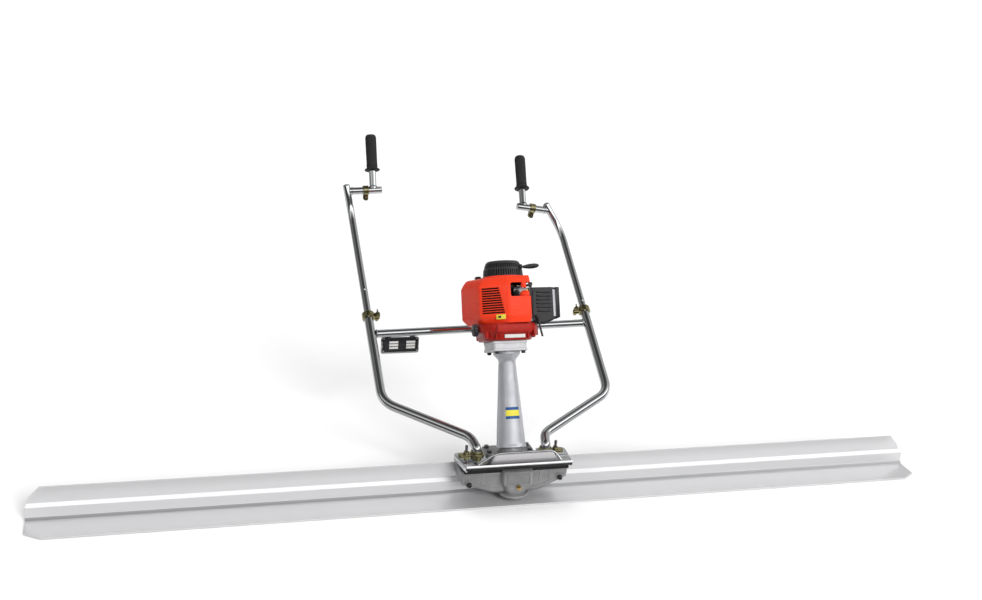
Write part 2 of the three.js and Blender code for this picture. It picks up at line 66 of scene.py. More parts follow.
RUBBER_BOTTOM = 91.6
RUBBER_TOP = 104.5
SCREW_AT = {"left": (-131, 59), "right": (124, 66)}
COLUMN_FOOT_R = 41.5
COLUMN_NECK_R = 23.7
COLUMN_TAPER = 236
SHROUD_TOP = 464
CAP_TOP = 511.5
PULL_Y = -37
PULL_Z = 493
TUBE_X = 331
FOOT_X = 98
FOOT_Y = -8
LOWER_R = 13.5
UPPER_R = 11
RISE = math.radians(32.3)
BEND_Y = 152
BEND_Z = 215
LOWER_END = 312
CROSSBAR_AT = 244
CROSSBAR_TILT = 8
CROSSBAR_R = 11.5
SIDES = {"left": -1, "right": 1}
BLACK = "black_plastic"
MILLIMETRE = 0.001  # in metres
SHARP = 0.55  # radians between the faces of an edge that gets a bevel
MOST_ROUND = 0.48  # the share of an edge that a round may take at each end

# ---------- the fitted camera ----------
PHOTO_PIXELS = 982
FOCAL_PIXELS = 1291.1
SENSOR = 36
CAMERA_AT = (-0.9811, -3.0710, 1.6384)
YAW, PITCH, ROLL = (math.radians(angle) for angle in (16.48, 18.63, 3.94))

DOWN = Vector((0, 0, -1))
FORWARD = (0, -1, 0)
REARWARD = (0, 1, 0)


def move(x, y, z):
    return Matrix.Translation((x, y, z))


def spin(angle, axis):
    return Matrix.Rotation(angle, 4, axis)


def axes(x, y, z):
    """The turn that lays the three axes along three directions."""
    return Matrix((x, y, z)).transposed().to_4x4()


WORLD = Matrix.Identity(4)
HEAD = move(HEAD_X, 0, 0)
DRIVE = move(HEAD_X, AXIS_Y, AXIS_Z) @ spin(-LEAN, "X")
UPRIGHT = spin(math.pi / 2, "X")


# ---------- camera and lamps ----------
def show(name, data):
    made = bpy.data.objects.new(name, data)
    bpy.context.scene.collection.objects.link(made)
    return made


def make_camera():
    forward = Vector((math.sin(YAW) * math.cos(PITCH), math.cos(YAW) * math.cos(PITCH), -math.sin(PITCH)))
    level = Vector((math.cos(YAW), -math.sin(YAW), 0))
    above = level.cross(forward)
    right = level * math.cos(ROLL) + above * math.sin(ROLL)
    up = above * math.cos(ROLL) - level * math.sin(ROLL)
    data = bpy.data.cameras.new("camera")
    data.sensor_width = SENSOR
    data.lens = FOCAL_PIXELS / PHOTO_PIXELS * SENSOR
    data.clip_end = 50
    camera = show("camera", data)
    camera.matrix_world = move(*CAMERA_AT) @ axes(right, up, -forward)
    bpy.context.scene.camera = camera


def sun(name, way, strength, spread):
    """A distant soft light from a direction. Mirrors don't see it."""
    data = bpy.data.lights.new(name, "SUN")
    data.energy = strength
    data.angle = math.radians(spread)
    lamp = show(name, data)
    lamp.rotation_euler = Vector(way).to_track_quat("Z", "Y").to_euler()
    lamp.visible_glossy = False


make_camera()
sun("key", (0.30, -0.84, 0.45), 2.8, 26)
sun("overhead", (-0.12, 0.42, 0.90), 0.95, 34)
sun("fill", (-0.80, -0.42, 0.42), 0.5, 30)


# ---------- shader nodes ----------
class Graph:
    """Short calls that add shader nodes. They return outputs, but add and feed return the node."""

    def __init__(self, tree):
        self.tree = tree

    def feed(self, node, **inputs):
        """Sets or links inputs by name; an underscore stands for a space."""
        for name, value in inputs.items():
            socket = node.inputs[name.replace("_", " ")]
            if isinstance(value, bpy.types.NodeSocket):
                self.tree.links.new(value, socket)
            else:
                socket.default_value = value
        return node

    def add(self, kind, **inputs):
        return self.feed(self.tree.nodes.new("ShaderNode" + kind), **inputs)

    def coordinate(self, kind):
        return self.add("TexCoord").outputs[kind]

    def split(self, vector):
        return self.add("SeparateXYZ", Vector=vector).outputs

    def ray(self, kind):
        return self.add("LightPath").outputs["Is %s Ray" % kind]

    def mix(self, factor, a, b, kind="MIX"):
        node = self.add("Mix")
        node.data_type = "RGBA"
        node.blend_type = kind
        return self.feed(node, Factor=factor, A=a, B=b).outputs["Result"]

    def multiply(self, a, b):
        node = self.add("Math")
        node.operation = "MULTIPLY"
        self.tree.links.new(a, node.inputs[0])
        self.tree.links.new(b, node.inputs[1])
        return node.outputs[0]

    def remap(self, value, low, high, to_low=0.0, to_high=1.0):
        node = self.add("MapRange", Value=value, From_Min=low, From_Max=high, To_Min=to_low, To_Max=to_high)
        return node.outputs["Result"]

    def ramp(self, value, stops, easing="EASE"):
        """A colour ramp through (place, colour) stops; a plain number is a grey."""
        node = self.add("ValToRGB", Fac=value)
        node.color_ramp.interpolation = easing
        elements = node.color_ramp.elements
        while len(elements) < len(stops):
            elements.new(0.5)
        for element, (place, tone) in zip(elements, stops):
            element.position = place
            element.color = tone if isinstance(tone, tuple) else (tone, tone, tone, 1)
        return node.outputs["Color"]


# ---------- the room ----------
def make_world():
    world = bpy.data.worlds.new("studio")
    bpy.context.scene.world = world
    world.use_nodes = True
    world.node_tree.nodes.clear()
    graph = Graph(world.node_tree)
    way = graph.split(graph.coordinate("Generated"))

    def across(axis, *stops):
        return graph.ramp(graph.remap(way[axis], -1, 1), stops)

    # What mirrors see: a pale floor, a dark band, a bright softbox above the viewer and a dark ceiling.
    front = across("Z", (0, 0.5), (0.5, 0.55), (0.55, 0.10), (0.65, 0.12), (0.71, 2.0), (0.80, 1.9),
                   (0.845, 0.62), (0.88, 0.55), (0.975, 0.07))
    rear = across("Z", (0, 0.5), (0.5, 0.62), (0.6, 0.55), (0.7, 0.46), (0.8, 0.48), (0.9, 0.5),
                  (0.975, 0.07))
    depth = across("Y", (0, 0), (0.42, 0), (0.58, 1), (1, 1))
    sideways = across("X", (0, 0.32), (0.28, 0.4), (0.5, 1), (1, 1))
    mirrored = graph.mix(1, graph.mix(depth, front, rear), sideways, "MULTIPLY")
    # What matt faces see: a pale room that is dimmer on the left.
    room = across("Z", (0, 0.6), (0.5, 0.78), (0.7, 0.62), (1, 0.5))
    soft = graph.mix(1, room, across("X", (0, 0.35), (0.35, 0.6), (0.7, 1), (1, 1)), "MULTIPLY")
    # What the camera sees is an even pale grey.
    pale = graph.mix(graph.ray("Diffuse"), (0.84, 0.84, 0.85, 1), soft)
    back = graph.add("Background", Color=graph.mix(graph.ray("Glossy"), pale, mirrored))
    graph.add("OutputWorld", Surface=back.outputs[0])


make_world()
bpy.context.scene.view_settings.view_transform = "Standard"


# ---------- materials ----------
def surface(
    name, colour, rough, metal, vary=0.06, rough_vary=0.08, grain=60, stretch=(1, 1, 1),
    bump=0.1, bump_scale=400, bump_stretch=None, second=None, second_amount=0.5,
    coat=0, aniso=0, specular=0.5, dust=0, pits=0,
):
    """A material with uneven colour and gloss and a fine relief, and a second tone, dust or pits if asked."""
    mat = bpy.data.materials.new(name)
    mat.use_nodes = True
    graph = Graph(mat.node_tree)
    coord = graph.add("TexCoord").outputs

    def noise(scale, way, detail=5):
        spread = graph.add("Mapping", Vector=coord["Object"], Scale=way).outputs[0]
        return graph.add("TexNoise", Vector=spread, Scale=scale, Detail=detail, Roughness=0.55).outputs["Fac"]

    def tint(amount):
        return tuple(max(0.0, min(1.0, c * (1 + amount))) for c in colour) + (1,)

    tone = graph.ramp(noise(grain, stretch), [(0.32, tint(-vary)), (0.68, tint(vary))], "LINEAR")
    if second:
        where = graph.remap(noise(grain * 0.35, stretch, 3), 0.45, 0.7, 0, second_amount)
        tone = graph.mix(where, tone, second + (1,))
    if dust:
        upward = graph.remap(graph.split(coord["Normal"])["Z"], 0.2, 1, 0, dust)
        tone = graph.mix(graph.multiply(upward, noise(180, (1, 1, 1), 6)), tone, (0.55, 0.53, 0.5, 1))
    smear = graph.remap(noise(grain * 1.7, stretch, 4), 0.3, 0.7, max(0.02, rough - rough_vary),
                        min(1, rough + rough_vary))
    height = noise(bump_scale, bump_stretch or stretch, 3)
    relief = graph.add("Bump", Strength=bump, Distance=0.0006, Height=height).outputs[0]
    if pits:
        cells = graph.add("TexVoronoi", Vector=coord["Object"], Scale=bump_scale * 0.8).outputs["Distance"]
        relief = graph.add("Bump", Strength=pits, Distance=0.0005, Height=cells, Normal=relief).outputs[0]
    graph.feed(mat.node_tree.nodes["Principled BSDF"], Base_Color=tone, Roughness=smear, Normal=relief,
               Metallic=metal, Specular_IOR_Level=specular, Anisotropic=aniso, Coat_Weight=coat,
               Coat_Roughness=0.12)
    return mat


ROLLED = dict(rough_vary=0.015, grain=9, stretch=(0.25, 6, 6), bump=0.008, bump_scale=60,
              bump_stretch=(0.12, 30, 30))
PRINTED = dict(vary=0.05, grain=90, bump=0.03)
M = {
    "board_aluminium": surface("mill_aluminium", (0.70, 0.70, 0.71), 0.30, 0.55, vary=0.012,
                               aniso=0.4, **ROLLED),
    # Painted highlight and painted shade: the step's lighter tint and the fold's darker tint stand in for how
    # light falls on the profile.
    "board_step": surface("painted_highlight_aluminium", (0.88, 0.88, 0.89), 0.34, 0.12, vary=0.01, **ROLLED),
    "board_fold": surface("painted_shade_aluminium", (0.52, 0.52, 0.53), 0.32, 0.75, vary=0.01, **ROLLED),
    "cast_aluminium": surface("cast_aluminium", (0.39, 0.39, 0.395), 0.46, 0.72, vary=0.09, grain=45,
                              bump=0.35, bump_scale=900, pits=0.25, second=(0.3, 0.3, 0.31),
                              second_amount=0.35),
    "pale_casting": surface("pale_casting", (0.60, 0.60, 0.62), 0.42, 0.40, vary=0.05, grain=45, bump=0.2,
                            bump_scale=900, pits=0.15),
    "silver_paint": surface("silver_paint", (0.54, 0.55, 0.58), 0.36, 0.58, vary=0.05, grain=30, bump=0.12,
                            bump_scale=700, coat=0.2, second=(0.4, 0.41, 0.43), second_amount=0.25),
    "chrome_tube": surface("chrome_tube", (0.66, 0.67, 0.68), 0.08, 1, vary=0.03, rough_vary=0.05, grain=14,
                           bump=0.02, bump_scale=80),
    "satin_steel": surface("satin_steel", (0.43, 0.42, 0.43), 0.26, 1, vary=0.02, rough_vary=0.02, grain=30,
                           bump=0.004, bump_scale=60),
    "zinc": surface("yellow_zinc", (0.40, 0.36, 0.19), 0.24, 1, vary=0.25, grain=120, bump=0.08,
                    bump_scale=500, second=(0.20, 0.21, 0.14), second_amount=0.75),
    "steel": surface("dark_steel", (0.22, 0.22, 0.23), 0.38, 1, vary=0.12, grain=110, bump_scale=600),
    "rubber": surface("black_rubber", (0.013, 0.013, 0.014), 0.6, 0, vary=0.2, grain=70, bump=0.2,
                      bump_scale=900, specular=0.35, dust=0.04),
    "shroud_red": surface("moulded_red", (0.80, 0.046, 0.014), 0.30, 0, vary=0.035, grain=20, bump=0.05,
                          bump_scale=260, coat=0.06, specular=0.3),
    "housing_red": surface("painted_red", (0.31, 0.011, 0.006), 0.34, 0, vary=0.10, grain=40, bump=0.12,
                           bump_scale=420, coat=0.05, specular=0.3),
    "black_plastic": surface("moulded_black", (0.019, 0.019, 0.021), 0.38, 0, vary=0.15, bump=0.25,
                             bump_scale=1300, dust=0.06),
    "brass": surface("plain_brass", (0.62, 0.42, 0.14), 0.3, 1, vary=0.1, grain=140, bump=0.05),
    "plate_black": surface("printed_black", (0.014, 0.014, 0.016), 0.3, 0, vary=0.1, grain=50, bump=0.03),
    "label_pale": surface("printed_pale", (0.62, 0.62, 0.60), 0.4, 0.1, **PRINTED),
    "label_yellow": surface("printed_yellow", (0.66, 0.58, 0.06), 0.35, 0, **PRINTED),
    "label_blue": surface("printed_blue", (0.015, 0.07, 0.22), 0.32, 0, vary=0.06, grain=90, bump=0.03),
    # Painted shade: a near-black material for sheets put inside the cowl, the window and the recoil cap where
    # there is only shade.
    "painted_shade_inside": surface("painted_shade_inside", (0.012, 0.011, 0.011), 0.6, 0, vary=0.2, grain=50),
    # Painted highlight: a lighter grey laid over the lit facet of the filter cover.
    "band_grey": surface("painted_highlight_grey", (0.55, 0.55, 0.57), 0.22, 0.2, vary=0.05, bump=0.04, coat=0.3),
    "bare_aluminium": surface("bare_aluminium", (0.66, 0.66, 0.67), 0.3, 1, bump=0.15, bump_scale=700),
}
node_slot = {s["node"]: s["material_slot"] for s in frame["record"]["subparts"]}
for node, obj in frame["nodes"].items():
    obj.data.materials.clear()
    obj.data.materials.append(M[node_slot[node]])


def make_floor():
    """A pale floor that mirrors show dark in front, like an unlit studio behind the viewer."""
    mesh = bpy.data.meshes.new("floor")
    r, z = 60, -0.0008
    mesh.from_pydata([(-r, -r, z), (r, -r, z), (r, r, z), (-r, r, z)], [], [(0, 1, 2, 3)])
    mat = surface("studio_floor", (0.94, 0.94, 0.94), 0.75, 0, vary=0.003, rough_vary=0.02, grain=3, bump=0,
                  specular=0.15)
    graph = Graph(mat.node_tree)
    shader = mat.node_tree.nodes["Principled BSDF"]
    place = graph.split(graph.coordinate("Object"))
    shade = graph.ramp(graph.remap(place["Y"], -1.6, 0.4),
                       [(0, 0.03), (0.67, 0.05), (0.71, 0.85), (0.9, 0.8)])
    across = graph.ramp(graph.remap(place["X"], -1.5, 0.5), [(0, 0.75), (0.6, 0.85), (0.85, 1), (1, 1)])
    plain = shader.inputs["Base Color"].links[0].from_socket
    bounce = graph.mix(graph.ray("Diffuse"), plain, (0.42, 0.42, 0.42, 1))
    mirrored = graph.mix(1, shade, across, "MULTIPLY")
    graph.feed(shader, Base_Color=graph.mix(graph.ray("Glossy"), bounce, mirrored))
    mesh.materials.append(mat)
    show("floor", mesh)


make_floor()


# ---------- mesh building ----------
class Piece:
    """One visible object made of many bevelled forms, in millimetres, riding on one body."""

    def __init__(self, name, slot, replaces=(), place=HEAD, body="base"):
        self.name, self.body, self.slot, self.nodes, self.place = name, body, slot, replaces, place
        self.verts, self.faces, self.mats, self.names = [], [], [], []

    def put(self, bm, material=None, bevel=0.0, place=WORLD, segments=2):
        bmesh.ops.recalc_face_normals(bm, faces=bm.faces)
        sharp = [e for e in bm.edges if bevel and e.is_manifold and e.calc_face_angle(0) > SHARP]
        if sharp:
            bmesh.ops.bevel(bm, geom=sharp, offset=bevel, offset_type="OFFSET", segments=segments,
                            profile=0.5, affect="EDGES", clamp_overlap=True)
            bmesh.ops.recalc_face_normals(bm, faces=bm.faces)
        key = material or self.slot
        if key not in self.names:
            self.names.append(key)
        where = self.place @ place
        start = len(self.verts)
        bm.verts.index_update()
        self.verts += [where @ v.co for v in bm.verts]
        self.faces += [[start + v.index for v in f.verts] for f in bm.faces]
        self.mats += [self.names.index(key)] * len(bm.faces)
        bm.free()
        return self

    def done(self, smooth=38):
        mesh = bpy.data.meshes.new(self.name)
        mesh.from_pydata([v * MILLIMETRE for v in self.verts], [], self.faces)
        mesh.polygons.foreach_set("material_index", self.mats)
        soften(mesh, smooth)
        for key in self.names:
            mesh.materials.append(M[key])
        piece = show(self.name, mesh)
        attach(piece, self.body)
        if self.nodes:
            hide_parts(*self.nodes)
        return piece


def soften(mesh, angle=38):
    mesh.polygons.foreach_set("use_smooth", [True] * len(mesh.polygons))
    mesh.set_sharp_from_angle(angle=math.radians(angle))


def angles(count):
    return [2 * math.pi * i / count for i in range(count)]


def bridge(bm, rows, closed=True):
    """Joins rows of corners with faces. A row of one corner is a tip."""
    for a, b in zip(rows, rows[1:]):
        n = max(len(a), len(b))
        for i in range(n if closed else n - 1):
            j = (i + 1) % n
            if len(a) > 1 and len(b) > 1:
                bm.faces.new((a[i], a[j], b[j], b[i]))
            elif len(b) > 1:
                bm.faces.new((a[0], b[i], b[j]))
            elif len(a) > 1:
                bm.faces.new((a[i], a[j], b[0]))


def box(size, at=(0, 0, 0)):
    bm = bmesh.new()
    bmesh.ops.create_cube(bm, size=1)
    bmesh.ops.scale(bm, vec=size, verts=bm.verts)
    bmesh.ops.translate(bm, vec=at, verts=bm.verts)
    return bm


def prism(outline, low, high):
    bm = bmesh.new()
    bottom = [bm.verts.new((x, y, low)) for x, y in outline]
    top = [bm.verts.new((x, y, high)) for x, y in outline]
    n = len(outline)
    bm.faces.new(bottom[::-1])
    bm.faces.new(top)
    for i in range(n):
        bm.faces.new((bottom[i], bottom[(i + 1) % n], top[(i + 1) % n], top[i]))
    return bm


def turned(profile, sides=56):
    """A body of revolution about Z; a profile point on the axis closes it."""
    bm = bmesh.new()
    bridge(bm, [[bm.verts.new((r * math.cos(a), r * math.sin(a), z)) for a in (angles(sides) if r else [0])]
                for r, z in profile])
    return bm


def hoop(profile, sides):
    """A body of revolution that stays clear of the axis."""
    return turned(profile + profile[:1], sides)


def loft(rings):
    """A closed form through rings of equal length."""
    bm = bmesh.new()
    made = [[bm.verts.new(p) for p in ring] for ring in rings]
    bridge(bm, made)
    bm.faces.new(made[0][::-1])
    bm.faces.new(made[-1])
    return bm


def rect(x0, y0, x1, y1):
    return [(x0, y0), (x1, y0), (x1, y1), (x0, y1)]


def aim(start, way):
    """Places a form made about Z so that it starts at a point and runs along a direction."""
    turn = Vector((0, 0, 1)).rotation_difference(Vector(way).normalized()).to_matrix().to_4x4()
    return move(*start) @ turn


def rod(radius, length, sides=28, chamfer=0.6):
    c = min(chamfer, radius * 0.4, length * 0.4)
    profile = [(0, 0), (radius - c, 0), (radius, c), (radius, length - c), (radius - c, length), (0, length)]
    return turned(profile, sides)


def hexagon(across, height, low=0.0):
    r = across / math.sqrt(3)
    corners = [(r * math.cos(math.pi / 3 * i), r * math.sin(math.pi / 3 * i)) for i in range(6)]
    return prism(corners, low, low + height)


def curve(here, last, after, reach, steps):
    """Points of a round from one side of a corner to the other."""
    a = here + (last - here).normalized() * min(reach, (last - here).length * MOST_ROUND)
    b = here + (after - here).normalized() * min(reach, (after - here).length * MOST_ROUND)
    shares = [k / steps for k in range(steps + 1)]
    return [a * (1 - t) ** 2 + here * 2 * t * (1 - t) + b * t ** 2 for t in shares]


def fillet(corners, radius, steps=5):
    """A closed outline with rounded corners, by one radius or one for each corner."""
    out = []
    n = len(corners)
    points = [Vector(corner) for corner in corners]
    for i, here in enumerate(points):
        r = radius[i] if isinstance(radius, list) else radius
        round_off = curve(here, points[i - 1], points[(i + 1) % n], r, steps) if r > 0 else [here]
        out += [tuple(p) for p in round_off]
    return out


def bent_line(points, bend, steps=14):
    """The centre line of a bent tube, as points."""
    corners = [Vector(p) for p in points]
    line = corners[:1]
    for last, here, after in zip(corners, corners[1:], corners[2:]):
        reach = min(bend, (last - here).length * MOST_ROUND, (after - here).length * MOST_ROUND)
        line += curve(here, last, after, reach, steps)
    return line + corners[-1:]


def swept(line, radius, sides=32, wall=None, dome=0.0):
    """A round tube along a line. With a wall it is open and hollow at its end, with a dome it is rounded."""
    bm = bmesh.new()
    line = [Vector(p) for p in line]

    def circle(p, r):
        across = way.cross(side)
        return [bm.verts.new(p + (side * math.cos(a) + across * math.sin(a)) * r) for a in angles(sides)]

    rings = []
    side = None
    for i, p in enumerate(line):
        way = (line[min(i + 1, len(line) - 1)] - line[max(i - 1, 0)]).normalized()
        if side is None:
            side = way.orthogonal().normalized()
        side = (side - way * side.dot(way)).normalized()
        rings.append(circle(p, radius))
    if dome:
        for k in range(1, 5):
            angle = math.pi / 2 * k / 5
            rings.append(circle(p + way * dome * math.sin(angle), radius * math.cos(angle)))
    elif wall:
        for share, back in ((0.35, -0.3), (0.75, -0.2), (1, 0.6), (1, 26)):
            rings.append(circle(p - way * back, radius - wall * share))
    bridge(bm, rings)
    bm.faces.new(rings[0][::-1])
    bm.faces.new(rings[-1])
    return bm


def carve(piece, *cutters):
    """Cuts forms out of a finished piece. Each cutter is a form and its place."""
    mesh = bpy.data.meshes.new("cutter")
    verts, faces = [], []
    for bm, place in cutters:
        bmesh.ops.recalc_face_normals(bm, faces=bm.faces)
        bm.verts.index_update()
        start = len(verts)
        verts += [(place @ v.co) * MILLIMETRE for v in bm.verts]
        faces += [[start + v.index for v in f.verts] for f in bm.faces]
        bm.free()
    mesh.from_pydata(verts, [], faces)
    cutter = show("cutter", mesh)
    mod = piece.modifiers.new("carve", "BOOLEAN")
    mod.operation = "DIFFERENCE"
    mod.solver = "EXACT"
    mod.use_self = True
    mod.object = cutter
    bpy.context.view_layer.update()
    carved = bpy.data.meshes.new_from_object(piece.evaluated_get(bpy.context.evaluated_depsgraph_get()))
    piece.modifiers.clear()
    piece.data = carved
    soften(carved)
    bpy.data.objects.remove(cutter)


def drill(piece, radius, length, low, sides=40):
    """Cuts a round hole about the drive's axis."""
    carve(piece, (rod(radius, length, sides, 0.1), DRIVE @ move(0, 0, low)))


def washer(piece, radius, place, material=None, sides=26, height=1.4):
    piece.put(rod(radius, height, sides, 0.3), material, 0, place)


def bolt(piece, at, way, shank_r, length, across, nut_at):
    """A hexagon bolt with a threaded shank, a nut and a washer under each."""
    where = aim(at, way)
    piece.put(hexagon(across, shank_r * 1.3, -shank_r * 1.3), None, 0.5, where)
    washer(piece, across * 0.62, where, sides=28)
    thread = [(0, 0), (shank_r, 0)]
    z, pitch = 2.0, 1.4
    while z < length - pitch:
        thread += [(shank_r, z), (shank_r * 0.88, z + pitch / 2)]
        z += pitch
    thread += [(shank_r * 0.9, length - 0.8), (shank_r * 0.7, length), (0, length)]
    piece.put(turned(thread, 20), place=where)
    washer(piece, across * 0.62, where @ move(0, 0, nut_at), sides=28)
    piece.put(hexagon(across, shank_r * 1.4), None, 0.5, where @ move(0, 0, nut_at + 1.4))


# ---------- board ----------
def make_board():
    section = [
        (-98, 0), (17.3, 0), (17.3, SHEET), (SHEET, SHEET), (SHEET, WALL_TOP - 1.7),
        (LIP_BACK + SHEET, LIP_BOTTOM - 1.7), (LIP_BACK + SHEET, LIP_TOP), (LIP_BACK, LIP_TOP),
        (LIP_BACK, LIP_BOTTOM), (0, WALL_TOP), (0, SHEET + 8), (-FOLD, SHEET), (-98, SHEET),
    ]
    outline = fillet(section, [1.6, 1.6, 1.6, 1.2, 2.4, 2.4, 1.7, 1.7, 1.4, 1.4, 1.0, 1.0, 1.6], 4)
    bm = loft([[(-HALF_BOARD + i * 2 * HALF_BOARD / 40, y, z) for y, z in outline] for i in range(41)])
    for s in (-1, 1):
        for place, normal in (
            ((s * HALF_BOARD, 0, LIP_BOTTOM + 3), (s * 40, 0, 37)),
            ((s * (HALF_BOARD - 11), 0, LIP_TOP - 28), (s * 50, 0, 22)),
            ((s * HALF_BOARD, -68, 0), (s * 30, -42, 0)),
        ):
            whole = list(bm.verts) + list(bm.edges) + list(bm.faces)
            normal = Vector(normal).normalized()
            bmesh.ops.bisect_plane(bm, geom=whole, plane_co=place, plane_no=normal, clear_outer=True)
            bmesh.ops.contextual_create(bm, geom=[e for e in bm.edges if e.is_boundary])
    made = Piece("board_profile", "board_aluminium", ["screed_board"], WORLD).put(bm).done(18)
    # The step is tinted lighter as a painted highlight and the fold darker as painted shade, found by the
    # middle of their faces.
    painted_light_bands = {"board_step": (LIP_BACK / 2, (WALL_TOP + LIP_BOTTOM) / 2), "board_fold": (-FOLD / 2, SHEET + 4)}
    for index, (key, (y, z)) in enumerate(painted_light_bands.items(), 1):
        made.data.materials.append(M[key])
        for face in made.data.polygons:
            middle = face.center * 1000
            if abs(face.normal.x) < 0.1 and abs(middle.y - y) < 1 and abs(middle.z - z) < 1:
                face.material_index = index


make_board()


# ---------- bent tubes of the handle ----------
TUBE_WAY = Vector((0, math.cos(RISE), math.sin(RISE)))
TUBE_ACROSS = Vector((0, -math.sin(RISE), math.cos(RISE)))
GRIP_ARM_R = 11.04
UPPER = {
    "left": {"extension": 690, "hole": 392, "top": (-11, 18, 76), "tip": (-7, 5, 21), "stub": (107, 0, 4),
             "post": 78, "lean": (0.01, 0.497, 0.868)},
    "right": {"extension": 617.5, "hole": 330, "top": (-43.5, 18, 65.7), "tip": (-8.8, 5, 24),
              "stub": (-109, 0, 15.8), "post": 84, "lean": (0.062, 0.631, 0.773)},
}


def on_tube(s, distance):
    return Vector((s * TUBE_X, BEND_Y + distance * math.cos(RISE), BEND_Z + distance * math.sin(RISE)))


def make_lower_tubes():
    for name, s in SIDES.items():
        line = [(s * FOOT_X, FOOT_Y, PLATE_TOP + 0.35), (s * FOOT_X, FOOT_Y, PLATE_TOP + 18),
                (s * 106, 32, 151), (s * TUBE_X, BEND_Y, BEND_Z), on_tube(s, LOWER_END)]
        piece = Piece("bent_tube_" + name, "chrome_tube", ["lower_tube_" + name])
        piece.put(swept(bent_line(line, 38), LOWER_R, wall=1.7)).done()
    piece = Piece("cross_tube", "chrome_tube", ["crossbar"])
    ends = [Vector((s * (TUBE_X - LOWER_R - 0.1), *on_tube(s, CROSSBAR_AT + s * CROSSBAR_TILT)[1:]))
            for s in (-1, 1)]
    way = (ends[1] - ends[0]).normalized()
    piece.put(rod(CROSSBAR_R, (ends[1] - ends[0]).length, 36), place=aim(ends[0], way))
    for end, out in ((ends[0], way), (ends[1], -way)):
        bead = [(CROSSBAR_R + r, z) for r, z in ((-0.4, 5), (0.5, 4.2), (1.6, 3), (1.2, 1), (-0.4, 0.4))]
        piece.put(hoop(bead, 36), place=aim(end, out))
    piece.done()


def make_upper_tubes():
    for name, s in SIDES.items():
        spec = UPPER[name]
        bend = on_tube(s, spec["extension"])
        joint = bend + Vector(spec["top"])
        end = joint + Vector(spec["tip"])
        stub = Vector(spec["stub"]).normalized()
        away = Vector(spec["lean"]).normalized()
        piece = Piece("upper_handle_" + name, "chrome_tube", ["upper_tube_" + name], body="upper_" + name)
        last = (end - joint).normalized()
        piece.put(swept(bent_line([on_tube(s, 190), bend, end - last * 6], 45, 18), UPPER_R, dome=6))
        piece.put(swept([joint + stub * 3, joint + stub * 52], UPPER_R + 0.3, wall=1.6))
        bead = [(UPPER_R, 14.5), (UPPER_R + 1.2, 13.6), (UPPER_R + 1.6, 11.6), (UPPER_R + 0.8, 10)]
        piece.put(hoop(bead, 32), place=aim(joint, stub))
        hole = on_tube(s, spec["hole"]) + TUBE_ACROSS * UPPER_R * 0.985
        piece.put(rod(2.6, 0.9, 16, 0.3), "label_pale", place=aim(hole, TUBE_ACROSS)).done()
        arm = Piece("grip_bar_" + name, "chrome_tube", ["grip_arm_" + name], body="arm_" + name)
        base = joint + stub * spec["post"]
        arm.put(swept([joint + stub * 20, joint + stub * 53.5], 9))
        arm.put(swept([joint + stub * 53, joint + stub * 103], UPPER_R, dome=3))
        arm.put(swept([base + away * 3, base + away * 61], GRIP_ARM_R, wall=1.5))
        arm.put(swept([base, base + away * 172], 8.6))
        weld = [(11.2, 13.5), (12.4, 12.6), (12.8, 11.2), (11.4, 9.6)]
        arm.put(hoop(weld, 32), place=aim(base, away)).done()
        make_grip(name, aim(base + away * 62, away))
        make_grip_clamp(name, joint, stub)


def ribbed_ring(r, z, depth):
    """A ring of 18 ribs with grooves of a depth between them."""
    reaches = [r - depth if i % 4 < 2 else r for i in range(72)]
    return [(reach * math.cos(a), reach * math.sin(a), z) for reach, a in zip(reaches, angles(72))]


def make_grip(name, place):
    """A ribbed rubber grip with a finger guard."""
    profile = [(9.1, 0), (20, 0.3), (22.8, 1.2), (23.9, 2.9), (22.6, 4.6), (18.8, 5.8), (17.1, 7.6),
               (16.7, 11), (16.6, 30), (16.9, 60), (17.0, 92), (16.9, 105), (16.0, 110.5), (13.4, 114),
               (9, 115.2), (3, 115.4)]
    bm = bmesh.new()
    rings = [ribbed_ring(r, z, 0.75 if 9 < z < 110 else 0) for r, z in profile] + [[(0, 0, profile[-1][1])]]
    bridge(bm, [[bm.verts.new(p) for p in ring] for ring in rings])
    piece = Piece("rubber_grip_" + name, "rubber", ["grip_" + name], body="arm_" + name)
    piece.put(bm, place=place)
    for z in (15, 103):
        piece.put(hoop([(16.2, z - 2), (17.25, z - 1.4), (17.25, z + 1.4), (16.2, z + 2)], 48), place=place)
    piece.done(30)


def make_grip_clamp(name, joint, stub):
    replaced = ["grip_clamp_" + name, "grip_clamp_bolt_" + name]
    piece = Piece("stub_clamp_" + name, "zinc", replaced, body="upper_" + name)
    drop = (DOWN - stub * stub.dot(DOWN)).normalized()
    middle = joint + stub * 54
    band = [(UPPER_R + 0.8, 0), (14.6, 0), (15.3, 0.7), (15.3, 16.3), (14.6, 17), (UPPER_R + 0.8, 17)]
    piece.put(hoop(band, 40), place=aim(joint + stub * 45.5, stub))
    across = stub.cross(drop)
    ear = fillet(rect(-7.6, 10, 7.6, 30), [0.5, 0.5, 6, 6])
    for side in (-1, 1):
        piece.put(prism(ear, -1.5, 1.5), bevel=0.5,
                  place=move(*(middle + across * side * 4.4)) @ axes(stub, across, drop) @ UPRIGHT)
    forward = across if across.y > 0 else -across
    bolt(piece, middle + drop * 23.5 - forward * 7.0, forward, 3.4, 22, 11, 13.4)
    piece.done()


make_lower_tubes()
make_upper_tubes()


